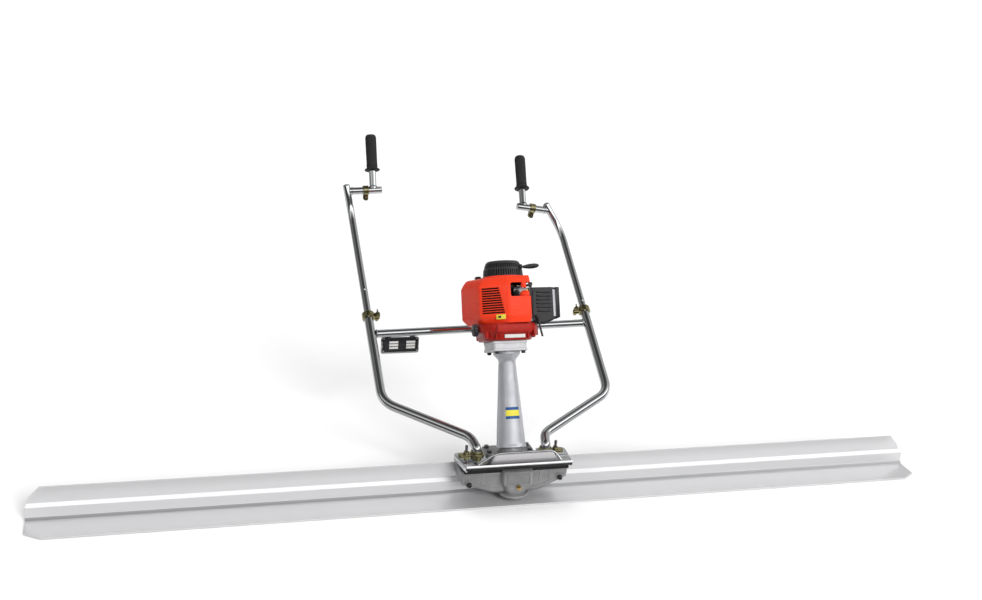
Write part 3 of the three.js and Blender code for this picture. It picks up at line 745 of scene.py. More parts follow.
# ---------- telescope clamps and foot clamps ----------
def make_tube_clamp(name, s):
    piece = Piece("telescope_clamp_" + name, "zinc", ["tube_clamp_" + name, "tube_clamp_bolt_" + name])
    middle = on_tube(s, LOWER_END - 12)
    band = [(LOWER_R + 0.5, -9), (17.6, -9), (18.3, -8.2), (18.3, 8.2), (17.6, 9), (LOWER_R + 0.5, 9)]
    piece.put(hoop(band, 44), place=aim(middle, TUBE_WAY))
    inward = Vector((-s, 0, 0))
    ear = fillet(rect(13, -7.6, 34, 7.6), [0.5, 6, 6, 0.5])
    for side in (-1, 1):
        piece.put(prism(ear, -1.8, 1.8), bevel=0.5, place=move(*(middle + TUBE_ACROSS * side * 5.2))
                  @ axes(inward, TUBE_WAY, inward.cross(TUBE_WAY)))
    centre = middle + inward * 26
    bolt(piece, centre + TUBE_ACROSS * 9.2, -TUBE_ACROSS, 3.9, 30, 12.5, 17.0)
    piece.put(rod(1.9, 24, 14), place=aim(centre + TUBE_ACROSS * 14.5 - TUBE_WAY * 10, TUBE_WAY))
    piece.done()


def make_foot_clamp(name, s):
    foot = Piece("foot_strap_" + name, "zinc", ["foot_clamp_" + name, "foot_stud_" + name])
    low = PLATE_TOP + 0.4
    flange = [(LOWER_R + 0.7, 0), (20, 0), (20.8, 0.8), (20.8, 3.2), (19.6, 4.2), (17.4, 4.6), (16.6, 6),
              (16.4, 11), (15.6, 12), (LOWER_R + 0.7, 12)]
    foot.put(hoop(flange, 40), place=move(s * FOOT_X, FOOT_Y, low))
    pad = fillet([(0, -10), (37, -8), (37, 8), (0, 10)], [1, 7, 7, 1])
    mirror = Matrix.Scale(s, 4, Vector((1, 0, 0)))
    foot.put(prism([(x + 14, y) for x, y in pad], low, low + 4), bevel=0.7,
             place=move(s * FOOT_X, FOOT_Y, 0) @ mirror)
    stud = move(s * (FOOT_X + 29), FOOT_Y, low + 4)
    foot.put(rod(3.9, 25, 18), "steel", place=stud)
    foot.put(hexagon(13, 6, 1.5), None, 0.5, stud)
    washer(foot, 8.2, stud, height=1.5)
    second = move(s * (FOOT_X + 2), FOOT_Y - 27, PLATE_TOP + 0.1)
    washer(foot, 7.5, second, height=1.5)
    foot.put(hexagon(12, 5.5, 1.4), None, 0.5, second)
    foot.done()


for side_name, side_sign in SIDES.items():
    make_tube_clamp(side_name, side_sign)
    make_foot_clamp(side_name, side_sign)


# ---------- handle plate and rubber mounts ----------
MOUNTS = {"front_left": (-118, -54), "front_right": (118, -54),
          "rear_left": (-128, -12), "rear_right": (128, -12)}


def raised_panel():
    """The pressed panel in the middle of the tray, from rows of (y, z, left reach, right reach)."""
    count = 56
    bm = bmesh.new()
    rows = []
    for y, z, left, right in (
        (-80.5, PLATE_TOP - 0.4, 120, 133), (-76, PLATE_TOP + 3, 112, 128), (-70, PLATE_TOP + 10.5, 104, 122),
        (-64, PLATE_TOP + 20.5, 97, 117), (-60.4, RIM_TOP - 2.4, 93, 114), (-58.4, RIM_TOP - 0.6, 92, 113),
        (-56.2, RIM_TOP - 1.4, 92, 113), (-55.2, PLATE_TOP - 0.5, 92, 113),
    ):
        middle, reach = (right - left) / 2, (right + left) / 2
        row = []
        for i in range(count + 1):
            u = i / count * 2 - 1
            fall = max(0.0, (abs(u) - (0.66 if u < 0 else 0.86)) / (0.34 if u < 0 else 0.14))
            drop = (z - PLATE_TOP + 0.4) * (fall ** 2 * (3 - 2 * fall))
            row.append(bm.verts.new((middle + u * reach, y, z - drop)))
        rows.append(row)
    bridge(bm, rows, closed=False)
    return bm


def make_plate():
    piece = Piece("frame_tray", "chrome_tube", ["handle_plate"])
    outline = fillet(
        [(-146, PLATE_FRONT), (154, PLATE_FRONT), (160, PLATE_REAR), (76, PLATE_REAR), (76, -54), (-76, -54),
         (-76, PLATE_REAR), (-160, PLATE_REAR)], [7, 7, 18, 4, 10, 10, 4, 18], 6)
    piece.put(prism(outline, PLATE_TOP - 4.2, PLATE_TOP), bevel=1.8, segments=4)
    lip = rect(-145, PLATE_FRONT + 0.4, 153, PLATE_FRONT + 3.6)
    piece.put(prism(fillet(lip, 1.2), PLATE_LIP_BOTTOM, PLATE_TOP - 1), BLACK, bevel=0.7)
    for s, front in ((-1, 145), (1, 153)):
        side = [(s * front, PLATE_FRONT + 3), (s * 159, PLATE_REAR - 14), (s * 155.6, PLATE_REAR - 14),
                (s * (front - 3.4), PLATE_FRONT + 3)]
        piece.put(prism(side[::s], PLATE_LIP_BOTTOM - 5, PLATE_TOP - 1), bevel=0.7)
    # A painted highlight: the round bead along the tray's front edge takes the board step's lighter tint.
    edge = [(-144, PLATE_FRONT + 2.2, PLATE_TOP), (152, PLATE_FRONT + 2.2, PLATE_TOP)]
    piece.put(swept(edge, 2.7, 20, dome=2), "board_step")
    piece.put(raised_panel(), "satin_steel")
    bead = [(-112, -74, PLATE_TOP + 1), (-92, -66, PLATE_TOP + 8), (-62, -60, RIM_TOP - 5),
            (-36, -58.6, RIM_TOP - 3.4), (98, -58.6, RIM_TOP - 3.4), (113, -61, RIM_TOP - 12),
            (124, -72, PLATE_TOP + 1)]
    piece.put(swept(bent_line(bead, 22, 8), 3.3, 24, dome=1.5))
    piece.done(40)
    waist = [(0, 91.4), (10, 91.4), (10.9, 92.2), (10.9, 93.6), (9.4, 95), (9.2, 96), (9.4, 97), (10.9, 98.4),
             (10.9, 99.8), (10, 100.6), (0, 100.6)]
    for key, (x, y) in MOUNTS.items():
        mount = Piece("buffer_" + key, "rubber", ["rubber_mount_" + key])
        mount.put(turned(waist, 36), place=move(x, y, 0)).done()
    strip = Piece("buffer_strip", "rubber")
    front = fillet(rect(-146, -72, 148, -48), 3)
    strip.put(prism(front, RUBBER_BOTTOM, RUBBER_TOP), bevel=1.2)
    for s in (-1, 1):
        side = [(s * 112, -50), (s * 148, -50), (s * 150, 4), (s * 112, 4)]
        strip.put(prism(fillet(side[::s], 3), RUBBER_BOTTOM, RUBBER_TOP), bevel=1.0)
    strip.done()


make_plate()


# ---------- vibrator under the plate ----------
WING_LOW = [(-150, 58), (-146, 52), (-128, 48), (-108, 42.5), (-86, 35.8), (-66, 30.5), (-52, 28.6),
            (52, 28.6), (74, 32), (104, 44.8), (128, 52.8), (146, 60), (150, 66)]
WING_FRONT = [(-150, -54), (-146, -61.5), (-70, -71), (70, -71), (146, -61.5), (150, -54)]
# The boss: height, half width, how far forward and back it reaches, and how square it is.
BOSS = (
    (100, 41, 94.5, -14, 7), (98.5, 43, 96.4, -12, 7), (63, 42.5, 97, -10, 7), (60.6, 41.6, 96, -10, 6),
    (59.4, 39, 94, -9, 5), (50, 37.6, 92.5, -8, 4), (41, 35, 90, -8, 3.2), (33, 32, 87, -8, 2.8),
    (28.5, 31.5, 86.5, -8, 2.4), (26.6, 39.5, 94, -10, 2.1), (24.4, 41.6, 95.6, -10, 2),
    (21.6, 42, 96, -10, 2), (18.4, 40, 94, -12, 2), (14, 33, 86, -18, 2), (10, 22, 75, -30, 2),
    (7.8, 11, 64, -42, 2), (7, 4, 57, -49, 2),
)


def between(x, table):
    """Straight interpolation in a table of (x, value) pairs."""
    for (x0, v0), (x1, v1) in zip(table, table[1:]):
        if x <= x1:
            t = (x - x0) / (x1 - x0)
            return v0 + (v1 - v0) * t
    return table[-1][1]


def boss_ring(z, wide, near, far, power):
    middle, reach = (-near + far) / 2, (near + far) / 2

    def squared(value):
        return math.copysign(abs(value) ** (2 / power), value)

    return [(wide * squared(math.cos(a)), middle + reach * squared(math.sin(a)), z) for a in angles(48)]


def make_exciter():
    piece = Piece("vibrator_housing", "cast_aluminium", ["exciter_housing"])
    rings = []
    for x in (-150, -149, -146, -140, -128, -116, -104, -87, -70, -60, -52, 0, 52, 60, 70, 76, 90, 104, 116,
              128, 140, 146, 149, 150):
        front, low = between(x, WING_FRONT), between(x, WING_LOW)
        top = 91 if abs(x) < 147 else 89.5
        corners = [(front + 5, low), (-1.2, low), (-1.2, top), (front, top), (front, low + 9)]
        rings.append([(x, y, z) for y, z in fillet(corners, [3, 2, 2, 3.5, 4], 3)])
    piece.put(loft(rings))
    pad = fillet([(-148, -56), (148, -56), (148, 7), (60, 11), (-60, 11), (-148, 7)], 7)
    piece.put(prism(pad, 78, 91), bevel=1.5)
    for s in (-1, 1):
        ridge = []
        for x in (44, 62, 84, 104, 122, 134, 142):
            front, low = between(s * x, WING_FRONT), between(s * x, WING_LOW)
            ring = rect(front - 1.4, low + 9, front + 3, low + 17)
            ridge.append([(s * x, y, z) for y, z in fillet(ring, 1.3, 2)])
        piece.put(loft(ridge))
        for x in (66, 94):
            piece.put(box((5, 5, 32), (s * x, between(s * x, WING_FRONT) + 1.2, 71)), bevel=1.6)
    for x, z in SCREW_AT.values():
        piece.put(rod(9.5, 6.6, 36, 1.4), place=aim((x, -62, z), FORWARD))
    piece.put(loft([boss_ring(*row) for row in BOSS]))
    for size, at in (((62, 2.2, 3), (0, -96.6, 92.5)), ((62, 2.2, 3), (0, -96.8, 65.5)),
                     ((3, 2.2, 29), (-31, -96.7, 79)), ((3, 2.2, 29), (31, -96.7, 79))):
        piece.put(box(size, at), bevel=0.8)
    piece.put(prism(fillet(rect(-60, -62, 60, 11), 14), 84, 99), bevel=2)
    piece.put(rod(32, 43, 48), place=move(0, AXIS_Y, AXIS_Z) @ spin(-LEAN, "X") @ move(0, 0, -44))
    drill(piece.done(), 27, 111, -92)


def make_fixings():
    for name, (x, z) in SCREW_AT.items():
        screw = Piece("fixing_screw_" + name, "steel", ["mounting_bolt_" + name])
        out, back = aim((x, -70, z), FORWARD), aim((x, -70, z), REARWARD)
        socket = [(0, 5.4), (2.8, 5.4), (2.8, 9.4), (4.6, 9.4), (5.4, 8.6), (5.4, 0), (0, 0)]
        screw.put(turned(socket, 28), BLACK, place=out)
        washer(screw, 7.2, out, BLACK)
        screw.put(rod(4.8, 100, 20), place=back)
        screw.put(hexagon(13.5, 6.2), None, 0.8, aim((x, 23.4, z), REARWARD))
        screw.done()
        angle = Piece("fixing_angle_" + name, "steel", ["board_bracket_" + name])
        face = fillet(rect(-26, -21, 26, 21), [1, 1, 6, 6])
        angle.put(prism(face, 0, 5), bevel=0.8, place=move(x, 22.7, 65) @ UPRIGHT)
        tongue = fillet(rect(-26, 0, 26, 24), [1, 1, 6, 6])
        angle.put(prism(tongue, 44.1, 49), bevel=0.8, place=move(x, 17.8, 0))
        angle.done()
    plug = Piece("grease_nipple", "brass", ["grease_plug"])
    plug.put(hexagon(12.6, 5.4), None, 0.7, aim((0, -97.6, 57), FORWARD))
    plug.put(turned([(0, 0), (4.2, 0), (4.2, 1.0), (3.4, 1.2), (0, 1.2)], 20),
             place=aim((0, -102.6, 57), FORWARD))
    plug.put(rod(4.8, 12, 18), place=aim((0, -98, 57), REARWARD))
    plug.done()


make_exciter()
make_fixings()


# ---------- column ----------
def column_radius(t):
    return COLUMN_FOOT_R - (COLUMN_FOOT_R - COLUMN_NECK_R) * (t / COLUMN_TAPER) ** 0.93


def make_badge(piece):
    """A plain blue badge with a yellow bar, laid on the column's face."""
    for key, places in (("label_blue", (0, 1, 2)), ("label_blue", (6, 7, 8)),
                        ("label_yellow", (2, 3, 4, 5, 6))):
        bm = bmesh.new()
        rows = []
        for k in places:
            t = 78 + 32 * k / 8
            r = column_radius(t) + 0.5
            turns = [math.radians(-34 + 66 * j / 12) for j in range(13)]
            rows.append([bm.verts.new((r * math.sin(a), -r * math.cos(a), t)) for a in turns])
        bridge(bm, rows, closed=False)
        piece.put(bm, key)


def make_column():
    piece = Piece("drive_column", "silver_paint", ["column"], DRIVE)
    outer = [(41.5, 1.2), (41.5, 5), (40.4, 7), (39.6, 12), (38.8, 20)]
    outer += [(column_radius(20 + 208 * k / 11), 20 + 208 * k / 11) for k in range(1, 12)]
    outer += [(23.5, 233), (24.2, 238), (27, 243), (31.5, 248), (35, 251.5), (36.9, 254), (37, 256),
              (37, 260.8), (36.2, 262)]
    inner = [(14, 262), (14, 220), (30, 0.1), (40.4, 0.1)]
    piece.put(hoop(outer + inner, 72))
    for side in (-1, 1):
        seam = []
        for t in (12, 120, 228):
            r = column_radius(t)
            seam.append([(side * (r + out), y, t)
                         for out, y in ((-0.6, -1.1), (0.5, -0.5), (0.5, 0.5), (-0.6, 1.1))])
        piece.put(loft(seam))
    make_badge(piece)
    piece.done()

    foot = Piece("column_base_plate", "cast_aluminium", ["column_foot_flange"])
    foot.put(prism(fillet(rect(-70, -6, 70, 50), 12), 101, 114.6), bevel=2.2, segments=3)
    for x in (-58, 58):
        for y in (6, 38):
            at = move(x, y, 114.7)
            washer(foot, 7.6, at, "steel")
            foot.put(hexagon(12, 5.4, 1.4), "steel", 0.7, at)
    drill(foot.done(), 32.4, 80, -60)

    flange = Piece("engine_mount_flange", "pale_casting", ["engine_flange"], DRIVE)
    shape = fillet(rect(-50.8, -47.6, 47.8, 56.8), 9, 6)
    flange.put(prism(shape, 262.5, 270), bevel=1.6, segments=3)
    waist = fillet(rect(-49.2, -46, 46.2, 55.2), 9, 6)
    flange.put(prism(waist, 268, 285))
    flange.put(prism(shape, 282.5, 290.8), bevel=1.6, segments=3)
    for x in (-37, 37):
        for y in (-37, 45):
            under = aim((x, y, 262.4), DOWN)
            washer(flange, 7.4, under, BLACK, 24)
            flange.put(rod(5.6, 7, 24, 0.8), BLACK, place=under)
    drill(flange.done(), 33, 45, 255)


make_column()


# ---------- engine ----------
def drawn_in(outline, amount, centre):
    """An outline of (corner, share) moved towards a centre, each corner by its share of an amount."""
    out = []
    for (x, y), share in outline:
        way = Vector((centre[0] - x, centre[1] - y)).normalized() * amount * share
        out.append((x + way.x, y + way.y))
    return out


def make_lower_housing():
    piece = Piece("starter_housing", "housing_red", ["fan_housing"], DRIVE)
    corners = [(-84, -44), (-52, -78), (52, -78), (78, -48), (78, 62), (40, 84), (-52, 84), (-84, 52)]
    rings = []
    for t, amount in (
        (291.5, 20), (293, 17.5), (296, 16), (304, 14.5), (307, 12.5), (312, 6), (316, 2.4), (319, 1.2),
        (330, 0.6), (333, 1.6), (334, 3.6), (336.6, 4),
    ):
        shape = drawn_in([(c, 1) for c in corners], amount, (0, 0))
        rings.append([(x, y, t) for x, y in fillet(shape, 13, 5)])
    piece.put(loft(rings))
    front = fillet([(-46, -81.5), (49, -81.5), (52, -70), (-50, -70)], [3, 4, 1, 1], 4)
    piece.put(prism(front, 312, 333), bevel=2.4, segments=3)
    piece.put(prism(fillet([(60, -70), (80, -47), (80, -30), (58, -30)], [5, 6, 1, 1], 4), 303, 331),
              bevel=2.4)
    for x in (-46, -34, 44):
        piece.put(box((3.4, 5, 15), (x, -66.5, 302.5)), bevel=1.2)
    piece.put(box((58, 1.6, 9.6), (6, -68.6, 301.5)), "label_pale", 0.4)
    for x, y in ((-68, -50), (62, -56), (57, 66), (-62, 62)):
        piece.put(rod(6, 24, 26, 1.0), place=move(x, y, 298))
        piece.put(rod(4, 2.2, 20, 0.6), "steel", place=move(x, y, 296.4))
    carve(piece.done(), (rod(26, 48, 36, 0.1), DRIVE @ move(0, 0, 280)),
          (rod(10.5, 30, 30, 0.1), DRIVE @ move(0, 0, 322)))


# The louvred face of the shroud runs from one corner to the next.
COWL_CORNERS = [((49.8, -94.8), 0.25), ((49.8, 95.8), 0.3), ((-78, 95.8), 0.7), ((-111.6, 45), 1.0),
                ((-82, -44), 1.0), ((-13, -94.8), 0.6)]
COWL_CENTRE = (-20, 0)
FACE_START = Vector((-82, -44))
FACE_WAY = Vector((69, -51)).normalized()
FACE_OUT = Vector((FACE_WAY.y, -FACE_WAY.x))
FACE_TURN = spin(math.atan2(FACE_WAY.y, FACE_WAY.x), "Z")


def cowl_ring(shares, amount, t, radius):
    return [(x, y, t) for x, y in fillet(drawn_in(shares, amount, COWL_CENTRE), radius, 4)]


def on_face(along, out, z):
    """A place on the louvred face, by the distance along it, the distance out from it and the height."""
    at = FACE_START + FACE_WAY * along + FACE_OUT * out
    return move(at.x, at.y, z) @ FACE_TURN


def make_shroud():
    piece = Piece("engine_cowl", "shroud_red", ["shroud"], DRIVE)
    piece.put(loft([cowl_ring(COWL_CORNERS, amount, t, 6) for t, amount in (
        (337.3, 17), (339, 14.5), (353, 1.2), (357, 0), (437, 0), (440.5, 1.0), (453, 8.5), (460, 14.5),
        (463, 20), (463.9, 26))]))
    made = piece.done()
    inner = []
    for t, amount in ((341.5, 21), (354, 5.4), (436, 5.4), (459.5, 21)):
        shares = [(c, max(1, share) if amount < 6 else share + 0.12) for c, share in COWL_CORNERS]
        inner.append(cowl_ring(shares, amount, t, 5))
    carve(made, (loft(inner), DRIVE))
    slots = []
    lips = Piece("cowl_louvres", "shroud_red", (), DRIVE)
    for i in range(11):
        t = 365.6 + i * 6.58
        length = 66.5 - i * 1.5
        at = FACE_START + FACE_WAY * (5.5 + length / 2)
        slots.append((box((length, 16, 4.3)), DRIVE @ move(at.x, at.y, t) @ FACE_TURN))
        if i:
            half_way = Vector((*FACE_WAY, 0)) * (length / 2 - 0.4)
            lip = Vector((*(at - FACE_OUT * 1.1), t - 3.29))
            lips.put(swept([lip - half_way, lip + half_way], 1.2, 12))
    for i in range(8):
        t = 369 + i * 8.2
        slots.append((box((84, 16, 4.3), (-14, 95, t)), DRIVE))
        if i:
            lips.put(swept([(-55.6, 94.7, t - 4.1), (27.6, 94.7, t - 4.1)], 1.2, 12))
    # Painted shade: dark sheets behind the louvres stand in for the shaded inside of the cowl.
    lips.put(box((92, 1.2, 74), (-14, 88, 398)), "painted_shade_inside")
    lips.put(box((76, 1.2, 82)), "painted_shade_inside", place=on_face(40, -11, 399))
    lips.done()
    window = prism(fillet(rect(-8, 407, 62, 445), [7, 1, 1, 7], 5), 50, 120)
    slots.append((window, DRIVE @ UPRIGHT))
    slots.append((rod(40, 20, 40, 0.1), DRIVE @ move(0, 0, SHROUD_TOP - 10)))
    slots.append((rod(46, 20, 40, 0.1), DRIVE @ move(0, 0, 330)))
    carve(made, *slots)
    trim = Piece("cowl_details", "shroud_red", (), DRIVE)
    label = on_face(60, 0.15, 353.5)
    trim.put(box((27, 0.7, 13)), "label_yellow", 0.2, label)
    trim.put(box((8, 0.5, 6)), BLACK, 0.2, label @ move(-4, -0.3, 0))
    trim.put(prism(fillet(rect(24, -91.5, 38, -82), 2.5, 3), 431, 452), bevel=1.4)
    trim.put(hoop([(56.9, 461), (61.5, 461), (61.2, 465.5), (59.8, 468), (58, 468), (56.9, 466.6)], 96))
    trim.put(rod(4.6, 3.4, 26, 0.9), place=aim((31, -91.2, 439), FORWARD))
    hump = [(19, -62, 404), (26, -76, 411), (32, -82.5, 415), (43, -84, 413)]
    trim.put(swept(bent_line(hump, 12), 9.4, 28, dome=5))
    for x, y in ((-66, -20), (-72, 66), (30, 80)):
        trim.put(rod(5.4, 1.6, 24, 0.5), "steel", place=move(x, y, 462.6))
    # Painted shade: dark sheets in the window stand in for the shaded recess.
    trim.put(box((52, 40, 2), (20, -66, 404)), "painted_shade_inside", 0.6)
    trim.put(box((1.6, 40, 40), (-6, -68, 425)), "painted_shade_inside", 0.6)
    trim.done()


def make_intake():
    piece = Piece("intake_parts", "bare_aluminium", ["carburettor"], DRIVE)
    piece.put(prism(fillet(rect(3, -84.2, 45, -60), 4), 413, 429), "cast_aluminium", bevel=1.8)
    piece.put(turned([(0, 405.5), (9, 405.5), (11.5, 408), (12, 415), (0, 415)], 28), BLACK,
              place=move(28, -73, 0))
    piece.put(prism(fillet(rect(2.4, -84.2, 22, -66), 5), 406, 432), BLACK, bevel=1.8)
    piece.put(rod(8, 10, 28, 1.2), place=move(30, -66, 428))
    piece.put(box((14.5, 40, 21), (37.8, -43.8, 424)), BLACK, bevel=2)
    for x, z in ((27, 419), (41, 424)):
        piece.put(rod(2.6, 1.6, 16, 0.6), "brass", place=aim((x, -85.4, z), FORWARD))
    hose = [(16, -62, 430), (8, -64, 438), (-3, -72, 437), (-5, -80, 424)]
    piece.put(swept(bent_line(hose, 8), 2.6, 14), BLACK)
    cable = [(40, -60, 433), (46, -74, 437), (55, -76, 434), (58, -66, 426)]
    piece.put(swept(bent_line(cable, 9), 2.2, 14), BLACK)
    bracket = fillet([(2, -58), (20, -58), (20, -84), (13, -84), (13, -64), (2, -64)], 1.5, 3)
    piece.put(prism(bracket, 434.5, 436.5), bevel=0.5)
    piece.done()


def make_controls():
    lever = Piece("throttle_arm", BLACK, ["throttle_lever"], DRIVE, "throttle")
    lever.put(rod(7, 3.6, 28, 0.8), place=move(30, -66, 438.4))
    arm = fillet([(30, -69.4), (57, -68.6), (57, -63.4), (30, -62.6)], [0, 2.4, 2.4, 0], 4)
    lever.put(prism(arm, 438.7, 441.7), bevel=0.7)
    lever.put(rod(2.2, 1.2, 16, 0.4), "steel", place=move(30, -66, 441.6)).done()
    bulb = Piece("primer_dome", "rubber", ["primer_bulb"], DRIVE, "primer")
    dome = [(0, 0), (8, 0), (8, 1.6), (6.6, 2.4), (6.4, 4), (5.8, 6.4), (4.4, 8.6), (2.2, 9.8), (0, 10)]
    bulb.put(turned(dome, 32), place=aim((11, -87.4, 417), FORWARD)).done()
    knob = Piece("stop_knob", BLACK, ["stop_button"], DRIVE, "stop")
    button = [(0, 434.7), (4.4, 434.7), (4.4, 439.6), (6, 440.6), (6, 446.4), (5.4, 447.8), (4.4, 448),
              (3, 447), (0, 446.8)]
    knob.put(turned(button, 32), place=move(62, -50, 0)).done()
    choke = Piece("choke_arm", BLACK, ["choke_lever"], DRIVE, "choke")
    choke.put(rod(6, 4.2, 28, 0.9), place=aim((76, -61.8, 353), FORWARD))
    line = [(76, -64.6, 353), (78, -65.2, 330), (84.5, -67, 299)]
    choke.put(swept(bent_line(line, 14), 2.9, 18, dome=1.6)).done()
    cap = Piece("fuel_filler_cap", BLACK, ["fuel_cap"], DRIVE, "fuel_cap")
    grip = []
    for z, r in ((0, 15.4), (1.4, 16.9), (9.5, 16.9), (12.4, 15.6), (13.2, 13.6)):
        grip.append(ribbed_ring(r, z, 0.9 if z > 0 else 0))
    cap.put(loft(grip), place=aim((-84.7, -16, 322), (-1, 0, 0)))
    cap.put(box((4.6, 29, 5.6), (-99, -16, 322)), bevel=1.4).done()
    boot = Piece("plug_boot", BLACK, ["spark_plug_cap"], DRIVE)
    stem = [(0, 462.6), (9, 462.6), (9, 467), (7.4, 468.6), (7.6, 471.5), (8.4, 473), (7.2, 474.8),
            (0, 474.8)]
    boot.put(turned(stem, 32), place=move(-60, 42, 0))
    lead = [(-60, 42, 470.6), (-60, 52, 471.2), (-60, 63, 471.5)]
    boot.put(swept(bent_line(lead, 6), 5.2, 20, dome=0.8)).done()


def make_air_cleaner():
    piece = Piece("filter_cover", BLACK, ["air_cleaner_cover"], DRIVE)
    top, middle_x = 433.8, 93

    def under(x):
        if x < 84:
            return 338.4 - max(0, x - 79.5) * 1.55
        return 331.4 + max(0, x - 97) * 0.38

    plan = [(50.6, -57), (79, -56.4), (84, -56.2), (97, -55.8), (122, -55), (135, -44), (135, 40),
            (124, 50), (97, 52), (84, 53), (79, 53.4), (50.6, 55)]
    outline = fillet(plan, [3, 0, 0, 0, 2, 2, 5, 8, 0, 0, 0, 3], 3)

    def ring(inset, height):
        return [(x + (middle_x - x) * inset / 60, y - y * inset / 60, height(x)) for x, y in outline]

    rings = [ring(inset, lambda x: under(x) + lift) for lift, inset in ((0, 5), (1.5, 2), (4.5, 0.2), (8, 0))]
    rings += [ring(inset, lambda x: top - drop) for drop, inset in ((6, 0), (3, 0.2), (1, 1.6), (0.2, 4))]
    piece.put(loft(rings))
    for i in range(6):
        t = 366 + i * 10.4
        rib = fillet([(76 + abs(i - 2.5), -61), (115, -60.4), (121, -54), (121, -50), (71, -50)],
                     [5, 3, 2, 0, 0], 4)
        piece.put(prism(rib, t, t + 4.6), bevel=1.3)
    edge = [(66, -57.2, 350), (64, -57.6, 372), (64, -57.6, 408), (67, -57.2, 424)]
    piece.put(swept(bent_line(edge, 12), 2.6, 14, dome=2))
    rim = fillet([(133.5, -49), (146, -47), (146, 44), (133.5, 47)], [2, 4, 4, 2], 4)
    rings = [[(x, y * (1 - inset), under(x) + z) for x, y in rim] for z, inset in ((0.5, 0.04), (3, 0))]
    rings += [[(x, y, 430.5) for x, y in rim], [(x, y * 0.97, 433.6) for x, y in rim]]
    piece.put(loft(rings))
    # Painted highlight: a lighter grey strip laid over the lit facet of the cover.
    facet = move(128.6, -50.2, 390) @ spin(math.atan2(11, 13), "Z")
    piece.put(box((12.5, 0.8, 74)), "band_grey", 0.3, facet)
    for z in (344, 428):
        piece.put(rod(4.4, 1.6, 22, 0.5), "steel", place=aim((58, -57.2, z), FORWARD))
    carve(piece.done(), (rod(5.6, 12, 28, 0.1), DRIVE @ move(62, -50, 429.6)))


def make_recoil():
    piece = Piece("recoil_cap", BLACK, ["recoil_cover"], DRIVE)
    low = SHROUD_TOP + 0.5
    outer = [(56, low), (56, low + 5), (55.4, low + 7), (54.2, low + 21), (51.2, low + 31), (48, low + 39.5),
             (46, low + 43.6), (42.5, CAP_TOP - 0.6), (38, CAP_TOP)]
    inner = [(36, CAP_TOP - 2.6), (41, CAP_TOP - 6), (44.4, CAP_TOP - 11), (49.6, low + 20),
             (51.4, low + 5.5), (51.6, low)]
    piece.put(turned([(0, CAP_TOP)] + outer[::-1] + inner[::-1] + [(0, CAP_TOP - 3.6)], 112))
    slots = []
    lower = move(0, 54, low + 14) @ spin(math.radians(4), "X")
    upper = move(0, 50, low + 33) @ spin(math.radians(19), "X")
    for angle in angles(52):
        if not 4.95 < angle < 5.65:
            turn = DRIVE @ spin(angle, "Z")
            slots += [(box((3.1, 16, 17)), turn @ lower), (box((3.1, 18, 12)), turn @ upper)]
    slots.append((rod(3, 60, 20, 0.1), DRIVE @ aim((20, PULL_Y, PULL_Z), (1, 0, 0))))
    carve(piece.done(), *slots)
    trim = Piece("recoil_trim", BLACK, (), DRIVE)
    trim.put(hoop(rect(30, CAP_TOP - 0.5, 33, CAP_TOP), 64))
    trim.put(turned([(0, CAP_TOP - 0.8), (11, CAP_TOP - 0.8), (11, CAP_TOP - 0.1), (0, CAP_TOP)], 40))
    # Painted shade: a dark liner behind the slots stands in for the shaded inside of the cap.
    liner = [(44.2, low + 4), (44.2, low + 24), (41.2, low + 35), (40.4, low + 35), (43.4, low + 24),
             (43.4, low + 4)]
    trim.put(hoop(liner, 72), "painted_shade_inside")
    guide = [(3.1, -3), (6.4, -3), (7, 0), (6.4, 2.4), (3.1, 2.4)]
    trim.put(hoop(guide, 28), place=aim((41.5, PULL_Y, PULL_Z), (1, 0, 0)))
    for a in angles(3):
        at = (54.4 * math.cos(a + 0.6), 54.4 * math.sin(a + 0.6), SHROUD_TOP + 0.4)
        trim.put(rod(5, 3.2, 22, 0.7), "steel", place=move(*at))
    trim.done()


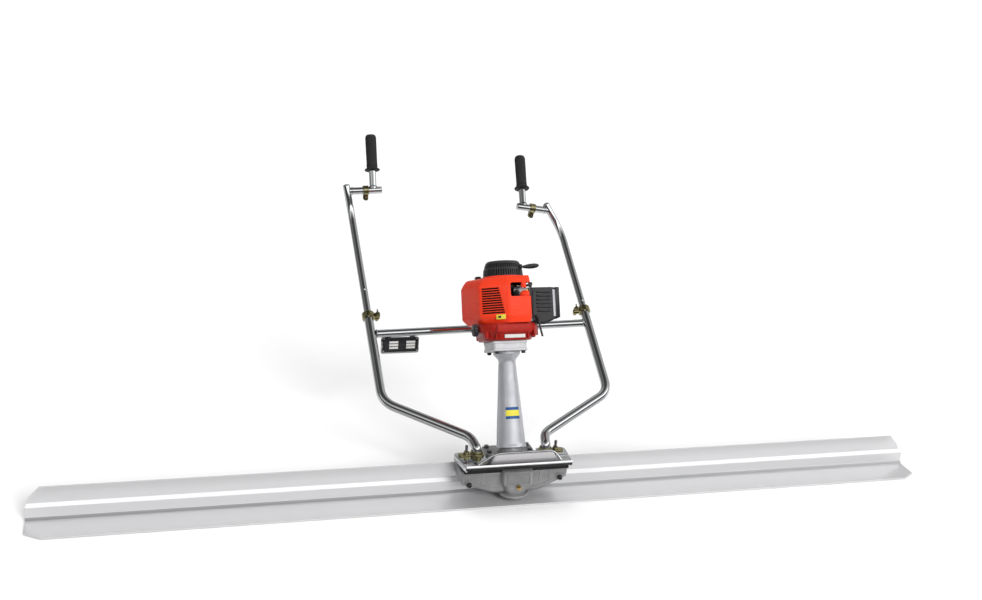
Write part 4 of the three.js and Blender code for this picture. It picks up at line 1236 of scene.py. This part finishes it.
def make_pull():
    pull = Piece("starter_handle", BLACK, ["pull_handle"], DRIVE, "pull")
    pull.put(rod(2.1, 72, 16), place=aim((-14, PULL_Y, PULL_Z), (1, 0, 0))).done()
    rings = []
    for k in range(25):
        u = k / 24
        round_off = math.sqrt(max(0.03, 1 - max(0, (u - 0.62) / 0.385) ** 2))
        wide = (5.2 + 3.7 * min(1, u * 2.2)) * round_off
        tall = (3.8 + 3.2 * min(1, u * 2.6)) * round_off
        x, z = 47.8 + 46 * u, PULL_Z - 1.0 + 3.4 * u
        rings.append([(x, PULL_Y + wide * math.cos(a), z + tall * math.sin(a)) for a in angles(32)])
    made = Piece("starter_grip", BLACK, (), DRIVE, "pull").put(loft(rings)).done()
    hollow = fillet(rect(60, -2.2, 86, 2.2), 2.1, 5)
    level = DRIVE @ move(0, PULL_Y, PULL_Z + 1.0) @ spin(math.radians(-4), "Y") @ UPRIGHT
    carve(made, (prism(hollow, 4.4, 20), level), (prism(hollow, -20, -4.4), level))


make_lower_housing()
make_shroud()
make_intake()
make_controls()
make_air_cleaner()
make_recoil()
make_pull()


# ---------- data plate ----------
def node_front(node):
    """Half width, half height, middle and front of a CAD node, in the head's frame."""
    low, high = ([v * 1000 for v in corner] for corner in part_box(node))
    middle = ((low[0] + high[0]) / 2 - HEAD_X, (low[1] + high[1]) / 2, (low[2] + high[2]) / 2)
    return (high[0] - low[0]) / 2, (high[2] - low[2]) / 2, middle, low[1]


def make_data_plate():
    bracket = Piece("plate_carrier", "chrome_tube", ["data_plate_bracket"])
    w, h, middle, _ = node_front("data_plate_bracket")
    shape = fillet(rect(-w, -h, w, h), 7, 5)
    bracket.put(prism(shape, -1.4, 1.4), bevel=0.6, place=move(*middle) @ UPRIGHT)
    for s in (-1, 1):
        bracket.put(box((16, 2.6, 16), (middle[0] + s * 36, middle[1], middle[2] + h + 2)), bevel=0.5)
    bracket.done()
    plate = Piece("rating_plate", "plate_black", ["data_plate"])
    w, h, middle, front = node_front("data_plate")
    stand = move(middle[0], front + 1.3, middle[2]) @ UPRIGHT
    plate.put(prism(fillet(rect(-w, -h, w, h), 5, 5), -1.1, 1.1), bevel=0.4, place=stand)
    for row in range(3):
        for x in (-w + 33, w - 21):
            plate.put(box((26, 6.2, 0.5), (x, h - 14 - row * 8.6, 1.2)), "label_pale", place=stand)
    rivet = [(0, 1.0), (1.9, 1.0), (1.7, 1.6), (1, 2.0), (0, 2.1)]
    for x in (-w + 3.4, w - 3.4):
        for y in (-h + 3.4, h - 3.4):
            plate.put(turned(rivet, 16), "bare_aluminium", place=stand @ move(x, y, 0))
    plate.done()


make_data_plate()
